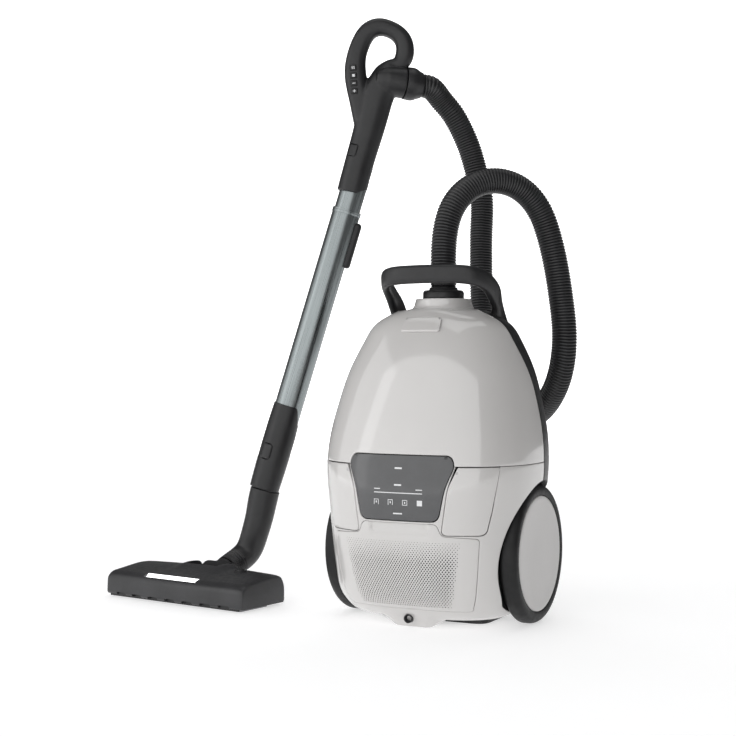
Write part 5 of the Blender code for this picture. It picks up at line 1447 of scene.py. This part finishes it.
def build_grip():
    """The grip: a barrel round the tube, a closed finger loop above it and a socket for the hose."""
    loop = [
        (-0.0030, 0.0, 0.6850, 0.0150, 0.0140), (-0.0145, 0.0, 0.7080, 0.0168, 0.0150),
        (-0.0312, 0.0, 0.7400, 0.0172, 0.0147), (-0.0418, 0.0, 0.7592, 0.0172, 0.0145),
        (-0.0500, 0.0, 0.7790, 0.0166, 0.0143), (-0.0542, 0.0, 0.8020, 0.0151, 0.0142),
        (-0.0532, 0.0, 0.8230, 0.0146, 0.0140), (-0.0468, 0.0, 0.8425, 0.0142, 0.0139),
        (-0.0338, 0.0, 0.8528, 0.0137, 0.0138), (-0.0175, 0.0, 0.8545, 0.0130, 0.0138),
        (-0.0005, 0.0, 0.8500, 0.0132, 0.0138), (0.0100, 0.0, 0.8412, 0.0137, 0.0138),
        (0.0156, 0.0, 0.8290, 0.0141, 0.0139), (0.0162, 0.0, 0.8150, 0.0138, 0.0140),
        (0.0110, 0.0, 0.8050, 0.0120, 0.0140), (0.0000, 0.0, 0.7990, 0.0105, 0.0142),
        (-0.0080, 0.0, 0.7900, 0.0105, 0.0142),
    ]
    barrel = [
        (-0.0015, 0.0, 0.5940, 0.0224, 0.0228), (-0.0020, 0.0, 0.6100, 0.0226, 0.0229),
        (-0.0028, 0.0, 0.6350, 0.0225, 0.0226), (-0.0032, 0.0, 0.6600, 0.0228, 0.0222),
        (-0.0035, 0.0, 0.6950, 0.0238, 0.0214), (-0.0050, 0.0, 0.7250, 0.0252, 0.0206),
        (-0.0055, 0.0, 0.7520, 0.0258, 0.0206), (-0.0010, 0.0, 0.7750, 0.0240, 0.0206),
        (0.0020, 0.0, 0.7930, 0.0200, 0.0180), (0.0030, 0.0, 0.8010, 0.0150, 0.0140),
    ]
    socket = [(0.046, 0.0120), (0.038, 0.0178), (0.028, 0.0216), (0.014, 0.0234), (0.0, 0.0246)]
    pieces = [
        loft_object("grip_shell", barrel, (0, 1, 0), 2.15),
        loft_object("loop", loop, (0, 1, 0), 2.5, steps=130),
        *[
            rod("elbow", CUFF_CENTRE - CUFF_AXIS * a[0], CUFF_CENTRE - CUFF_AXIS * b[0], a[1], b[1], 96)
            for a, b in zip(socket, socket[1:])
        ],
    ]
    grip = remesh(merge_objects(pieces), 0.00125, 14)
    place = wand_frame()
    low, high = wand_point(0, 0, 0.58), wand_point(0, 0, 0.641)
    grip = boolean(grip, rod("cut", low, high, 0.0203, segments=96))
    grip = boolean(grip, block("cut", (-0.0090, -0.05, 0.6470), (0.0090, -0.0185, 0.6670), button_frame(-48.0), 0.004))
    for k in range(4):
        pocket = block("cut", (-0.02, -0.0052, -0.0044), (0.0042, 0.0052, 0.0044), press_frame(0.012 * k), 0.0012)
        grip = boolean(grip, pocket)
    wedge = block("cut", (-0.2, -0.2, -0.05), (0.2, 0.2, 0.0))
    slope = Matrix.Rotation(math.radians(-38.0), 4, "Y")
    wedge.data.transform(place @ Matrix.Translation((0.0045, 0.0, 0.5930)) @ slope)
    grip = boolean(grip, wedge)
    dress(grip, HANDLE_BLACK, "handle", ["grip_handle"], 38.0)


def build_buttons():
    """Rounded caps for the keys of the grip and for the two release buttons."""
    icons = (
        ((-0.0022, -0.0005, 0.0022, 0.0005), (-0.0005, -0.0022, 0.0005, 0.0022)),
        ((-0.0022, -0.0005, 0.0022, 0.0005),),
        ((-0.0020, -0.0020, 0.0020, 0.0020),),
        ((-0.0020, -0.0022, -0.0008, 0.0022), (0.0008, -0.0022, 0.0020, 0.0022)),
    )
    for k, bars in enumerate(icons):
        place = press_frame(0.012 * k)
        low, high = (-0.0014, -0.0048, -0.0040), (0.0027, 0.0048, 0.0040)
        cap = block("key_cap_%d" % (k + 1), low, high, place, 0.0013, 4)
        dress(cap, BLACK, "key_%d" % (k + 1), ["grip_key_%d" % (k + 1)], 35.0)
        marks = [block("key_mark_%d" % (k + 1), (-0.00152, a, b), (-0.0013, c, d), place) for a, b, c, d in bars]
        dress(merge_objects(marks), PRINT, "key_%d" % (k + 1))
    low, high = (-0.0085, -0.0250, 0.6475), (0.0085, -0.0200, 0.6665)
    cap = block("release_cap", low, high, button_frame(-48.0), 0.0024, 6)
    dress(cap, BLACK, "grip_release", ["grip_release_button"], 35.0)
    low, high = (-0.0085, -0.0250, 0.1633), (0.0085, -0.0180, 0.1883)
    cap = block("sleeve_cap", low, high, button_frame(-32.0), 0.0034, 6)
    dress(cap, BLACK, "sleeve_release", ["sleeve_button"], 35.0)


# --- Neck and nozzle -----------------------------------------------------------------------------------------
def stub_end():
    return nozzle_point(0, 0.072, 0.038)


def build_neck():
    """The bent pipe from the yoke's stub up to the sleeve, with a bellows at its foot."""
    axis = (stub_end() - nozzle_point(0, 0.038, 0.026)).normalized()
    start = stub_end() + axis * 0.0006
    rows = [tuple(start) + (0.0190,), tuple(start + axis * 0.016) + (0.0196,)]
    for x, z, radius in (
        (0.003, 0.016, 0.0204), (0.0060, 0.045, 0.0210), (0.0052, 0.075, 0.0218), (0.0030, 0.100, 0.0226),
        (0.002, 0.1168, 0.0227),
    ):
        rows.append(tuple(wand_point(x, 0.0, z)) + (radius,))
    steps = 150
    line = smooth_line(rows, steps)
    runs = np.gradient(line[:, :3], axis=0)
    runs /= np.linalg.norm(runs, axis=1, keepdims=True)
    side = np.array((0.988, -0.156, 0.0))
    sides = side - runs * (runs @ side)[:, None]
    sides /= np.linalg.norm(sides, axis=1, keepdims=True)
    run = np.concatenate([[0.0], np.cumsum(np.linalg.norm(np.diff(line[:, :3], axis=0), axis=1))])
    bellows = 0.0009 * (1 - ease(run, 0.026, 0.032)) * (np.cos(2 * math.pi * run / 0.0048) - 1)
    radius = line[:, 3] + bellows - 0.0010 * (1 - ease(run[-1] - run, 0.0, 0.0012))
    halves = np.stack([radius, radius], axis=1)
    points, faces = ring_sweep(line[:, :3], sides, np.cross(runs, sides), halves, [2.0] * steps, 72)
    finish_piece("neck_bent_pipe", points, faces, HANDLE_BLACK, "lower_wand", ["neck_pipe"], 50.0)


def build_yoke():
    start, end = nozzle_point(-0.029, 0.038, 0.026), nozzle_point(0.029, 0.038, 0.026)
    barrel = rod("swivel_barrel", start, end, 0.0140, segments=96)
    centre = nozzle_point(0, 0.038, 0.026)
    arm = rod("arm", centre, stub_end(), 0.0150, 0.0185, 96)
    side = (nozzle_point(1, 0, 0) - nozzle_point(0, 0, 0)).normalized()
    run = (stub_end() - centre).normalized()
    up = side.cross(run)
    shares = [k / 12 for k in range(13)]
    centres = [centre.lerp(stub_end(), 0.15 + 0.83 * k) for k in shares]
    halves = [(0.0275 - 0.0085 * float(ease(k, 0.1, 1.0)), 0.0120 + 0.0065 * k) for k in shares]
    points, faces = ring_sweep(centres, [side] * 13, [up] * 13, halves, [3.0 - k for k in shares], 48)
    fork = loose_object("fork", points, faces)
    knuckle = stub_end().lerp(centre, 0.46)
    pieces = [rod("knuckle", knuckle - side * 0.0245, knuckle + side * 0.0245, 0.0185, segments=72)]
    for k in range(4):
        spot = centre.lerp(knuckle, 0.05 + 0.16 * k)
        pieces.append(rod("rib", spot, spot + run * 0.0020, 0.0172, segments=64))
    yoke = remesh(merge_objects([barrel, arm, fork] + pieces), 0.0010, 8)
    pins = rod("pins", nozzle_point(-0.0335, 0.038, 0.026), nozzle_point(0.0335, 0.038, 0.026), 0.0045)
    dress(merge_objects([yoke, pins]), BLACK, "yoke", ["swivel_yoke"], 45.0)


def nozzle_section(share):
    """Outline (y, z) of the nozzle at a share of its half width, with the hump over its swivel."""
    out = abs(share)
    end = max((1 - min(out, 1.0) ** 11) ** (1 / 11), 0.50)
    fall = 0.012 * (1 - end)
    depth = (0.0495 + 0.0050 * (1 - float(ease(out, 0.25, 0.98)))) * (0.80 + 0.20 * end)
    front_top = 0.0375 - fall
    hump = 1 - float(ease(out, 0.24, 0.40))
    rear_top = 0.0452 + 0.0012 * (1 - float(ease(out, 0.30, 0.95))) + 0.0060 * hump - fall
    bottom = 0.0040
    corners = [
        (-depth + 0.002, bottom), (-depth, bottom + 0.003), (-depth + 0.0010, front_top - 0.0060),
        (-depth + 0.0100, front_top + 0.0010), (-depth * 0.50, front_top + 0.0026),
        (-depth * 0.05, (front_top + rear_top) / 2 + 0.0012 - 0.0018 * hump),
        (depth * 0.40, rear_top), (depth - 0.007, rear_top - 0.0010), (depth, rear_top - 0.014),
        (depth, bottom + 0.003), (depth - 0.002, bottom),
    ]
    radii = [0.001, 0.001, 0.007, 0.007, 0.010, 0.010, 0.010, 0.009, 0.006, 0.001, 0.001]
    return round_profile(corners, radii, 5)


def nozzle_form():
    """The outer form of the nozzle, lofted from end to end."""
    place = nozzle_frame()
    half = 0.135
    shares = [-1 + 2 * k / 60 for k in range(61)]
    inner = [s for s in shares if abs(s) < 0.955]
    ends = [0.955 + 0.045 * math.sin(math.pi / 2 * k / 8) for k in range(9)]
    shares = [-e for e in ends[::-1]] + inner + ends
    points = []
    for share in shares:
        points += [place @ Vector((share * half, y, z)) for y, z in nozzle_section(share)]
    count = len(points) // len(shares)
    faces = grid_faces(len(shares), count)
    faces.append(list(range(count))[::-1])
    faces.append([(len(shares) - 1) * count + k for k in range(count)])
    return loose_object("nozzle_cover", points, faces)


def lens_frame():
    return nozzle_frame() @ Matrix.Translation((-0.006, -0.0405, 0.0352)) @ Matrix.Rotation(math.radians(42), 4, "X")


def build_nozzle():
    place = nozzle_frame()
    body = nozzle_form()
    rear = 0.014
    cutters = [
        block("cut", (-0.130, -0.0445, -0.01), (0.130, rear, 0.0320), place),
        block("cut", (-0.0298, rear + 0.003, 0.0085), (0.0298, 0.2, 0.2), place, 0.002),
        rod("cut", nozzle_point(-0.034, 0.038, 0.026), nozzle_point(0.034, 0.038, 0.026), 0.0048),
        block("cut", (-0.0515, -0.0056, -0.0022), (0.0515, 0.0056, 0.02), lens_frame(), 0.0012),
        rod("cut", nozzle_point(0.072, 0.022, 0.030), nozzle_point(0.072, 0.022, 0.08), 0.0072),
    ]
    for side in (-1, 1):
        x, y = side * 0.098, 0.0375
        cutters.append(block("cut", (x - 0.0085, y - 0.0140, -0.01), (x + 0.0085, y + 0.0140, 0.0265), place))
        cutters.append(rod("cut", nozzle_point(x - 0.0125, y, 0.012), nozzle_point(x + 0.0125, y, 0.012), 0.0026))
    for k in range(7):
        x = (k - 3) * 0.034
        cutters.append(block("cut", (x - 0.0100, -0.07, -0.004), (x + 0.0100, -0.040, 0.0080), place, 0.0022))
    for cutter in cutters:
        body = boolean(body, cutter)
    dress(body, NOZZLE_BLACK, "nozzle", ["nozzle_body"], 32.0)
    build_nozzle_trim(place)


def build_nozzle_trim(place):
    """The lit bar, the mode knob and its ring, and the groove strip along the front."""
    strip_low, strip_high = (-0.128, -0.0466, 0.0012), (0.128, -0.0447, 0.0100)
    dress(block("sole_skirt", strip_low, strip_high, place, 0.0005), BLACK, "nozzle")
    bar = block("light_bar_lens", (-0.051, -0.0052, -0.0019), (0.051, 0.0052, 0.0018), lens_frame(), 0.0016, 4)
    dress(bar, LAMP, "nozzle", ["light_bar"])
    profile = [(0.0, 0.0495), (0.0050, 0.0495), (0.0064, 0.0482), (0.0068, 0.0335), (0.0, 0.0335)]
    turned = round_profile(profile, [0.0, 0.0016, 0.0012, 0.0005, 0.0], 4)
    knob_place = place @ Matrix.Translation((0.072, 0.022, 0.0))
    points, faces = lathe(turned[::-1], knob_place, 64)
    knob = finish_piece("mode_knob", points, faces, BLACK, "mode_key", ["mode_button"])
    ring = [(0.0072, 0.0468), (0.0094, 0.0468), (0.0094, 0.0440), (0.0072, 0.0440)]
    points, faces = lathe(round_profile(ring, 0.0007, 3)[::-1], knob_place, 64)
    finish_piece("mode_knob_ring", points, faces, BLACK, "nozzle")
    return knob


def build_bag():
    """The dust bag: a slack fleece pillow with a side gusset, folds and a welded seam round its middle."""
    node = NODES["dust_bag"]
    corners = np.array([node.matrix_world @ Vector(corner) for corner in node.bound_box])
    middle = (corners.max(axis=0) + corners.min(axis=0)) / 2
    half = (corners.max(axis=0) - corners.min(axis=0)) / 2 - 0.0012
    count, rows, points = 120, 72, []
    for row in range(rows + 1):
        level = -math.cos(math.pi * row / rows)
        end = (1 - abs(level) ** 4.5) ** (1 / 2.6)
        for k in range(count):
            angle = 2 * math.pi * k / count
            cosine, sine = math.cos(angle), math.sin(angle)
            radius = (abs(cosine) ** 3.2 + abs(sine) ** 3.2) ** (-1 / 3.2) * max(end, 0.004)
            fold = 0.10 * math.exp(-(sine / 0.16) ** 2) * (1 - level**2)
            crease = 0.030 * noise.noise(Vector((cosine * 2.6, sine * 2.6, level * 3.4)))
            crease += 0.016 * noise.noise(Vector((cosine * 6.0, sine * 6.0, level * 9.0)))
            seam = 0.018 * math.exp(-((level - 0.42) / 0.018) ** 2)
            radius *= 0.955 - fold - abs(crease) + seam
            points.append(middle + half * (radius * cosine, radius * sine, level * 0.985))
    faces = grid_faces(rows + 1, count)
    faces.append(list(range(count))[::-1])
    faces.append([rows * count + k for k in range(count)])
    bag = finish_piece("dust_bag_fleece", points, faces, BAG, "canister", ["dust_bag"], 80.0)


def build_rollers():
    for side, label in ((-1, "left"), (1, "right")):
        x, half, radius = side * 0.098, 0.0075, 0.012
        profile = [
            (0.0, half + 0.004), (0.0022, half + 0.004), (0.0022, half), (radius - 0.003, half),
            (radius, half - 0.0015), (radius, 0.0015 - half), (radius - 0.003, -half), (0.0022, -half),
            (0.0022, -half - 0.004), (0.0, -half - 0.004),
        ]
        turned = round_profile(profile, [0, 0.0004, 0.0004, 0.001, 0.002, 0.002, 0.001, 0.0004, 0.0004, 0], 4)
        spot = Matrix.Translation((x, 0.0375, radius)) @ Matrix.Rotation(math.pi / 2, 4, "Y")
        points, faces = lathe(turned[::-1], nozzle_frame() @ spot, 64)
        finish_piece(
            "nozzle_roller_" + label, points, faces, RUBBER, label + "_roller", ["nozzle_wheel_" + label],
        )


# --- Camera, light and floor ---------------------------------------------------------------------------------
def glowing_white(name, color, glow):
    """White studio surface that stays bright away from the lamps."""
    s = Surface(name, color, 0.65, specular=0.1)
    s.shader.inputs["Emission Color"].default_value = (1.0, 1.0, 1.0, 1.0)
    s.shader.inputs["Emission Strength"].default_value = glow
    s.tint(s.noise(3.0, 3.0), shade(color, 0.985), shade(color, 1.01))
    s.rough(s.noise(6.0, 3.0), 0.60, 0.70)
    return s.mat


def build_stage():
    size = 7.0
    floor = block("floor", (-size, -size, -0.02), (size, size, -0.0002))
    floor.data.materials.append(glowing_white("studio_floor", (0.60, 0.60, 0.605), 0.57))
    wall = block("wall", (-size, -0.01, -0.1), (size, 0.01, 5.0))
    wall.data.transform(Matrix.Rotation(WAND_PLANE, 4, "Z") @ Matrix.Translation((0.0, 3.2, 0.0)))
    wall.data.materials.append(glowing_white("studio_wall", (0.80, 0.80, 0.80), 1.1))
    wall.visible_glossy = False


def build_world():
    scene = bpy.context.scene
    if scene.world is None:
        scene.world = bpy.data.worlds.new("studio")
    scene.world.use_nodes = True
    background = scene.world.node_tree.nodes["Background"]
    background.inputs["Color"].default_value = (1.0, 1.0, 1.0, 1.0)
    background.inputs["Strength"].default_value = 0.13
    scene.view_settings.view_transform = "Standard"


def area_light(name, place, target, size, power, color=(1.0, 1.0, 1.0)):
    lamp = bpy.data.lights.new(name, "AREA")
    lamp.shape = "RECTANGLE"
    lamp.size, lamp.size_y = size
    lamp.energy = power
    lamp.color = color
    obj = bpy.data.objects.new(name, lamp)
    obj.location = place
    obj.rotation_euler = (Vector(target) - Vector(place)).to_track_quat("-Z", "Y").to_euler()
    bpy.context.scene.collection.objects.link(obj)
    return obj


def build_lights():
    """A wide soft panel in front, a strong one on the left, and one above."""
    area_light("front_panel", (-0.60, -3.0, 2.0), (-0.60, 0.0, 2.0), (7.2, 4.4), 118.0)
    area_light("left_panel", (-3.0, -1.5, 1.6), (0.0, 0.0, 1.6), (2.6, 3.4), 24.0)
    area_light("top_panel", (-0.2, 0.1, 2.6), (-0.1, 0.05, 0.3), (1.8, 1.8), 9.0)


def build_camera():
    """A long lens, level, at the height of the hose collar."""
    camera = bpy.data.cameras.new("camera")
    camera.sensor_width = 36.0
    camera.lens = 36.0 * 1500.0 / 736.0
    camera.shift_y = -18.0 / 736.0
    camera.clip_end = 100.0
    obj = bpy.data.objects.new("camera", camera)
    obj.location = (0.861, -1.927, 0.372)
    obj.rotation_euler = (math.pi / 2, 0.0, WAND_PLANE)
    bpy.context.scene.collection.objects.link(obj)
    bpy.context.scene.camera = obj


def main():
    build_camera()
    build_world()
    build_lights()
    build_stage()
    dress_frame_nodes()
    build_hose()
    build_lid()
    build_body()
    build_cover()
    build_pedals()
    build_panel()
    build_latch()
    build_chassis()
    build_wells()
    build_collar()
    build_connector()
    build_cuff()
    build_handle()
    build_wheels()
    build_tubes()
    build_collar_ring()
    build_pad()
    build_sleeve()
    build_grip()
    build_buttons()
    build_neck()
    build_yoke()
    build_nozzle()
    build_rollers()
    build_bag()


main()
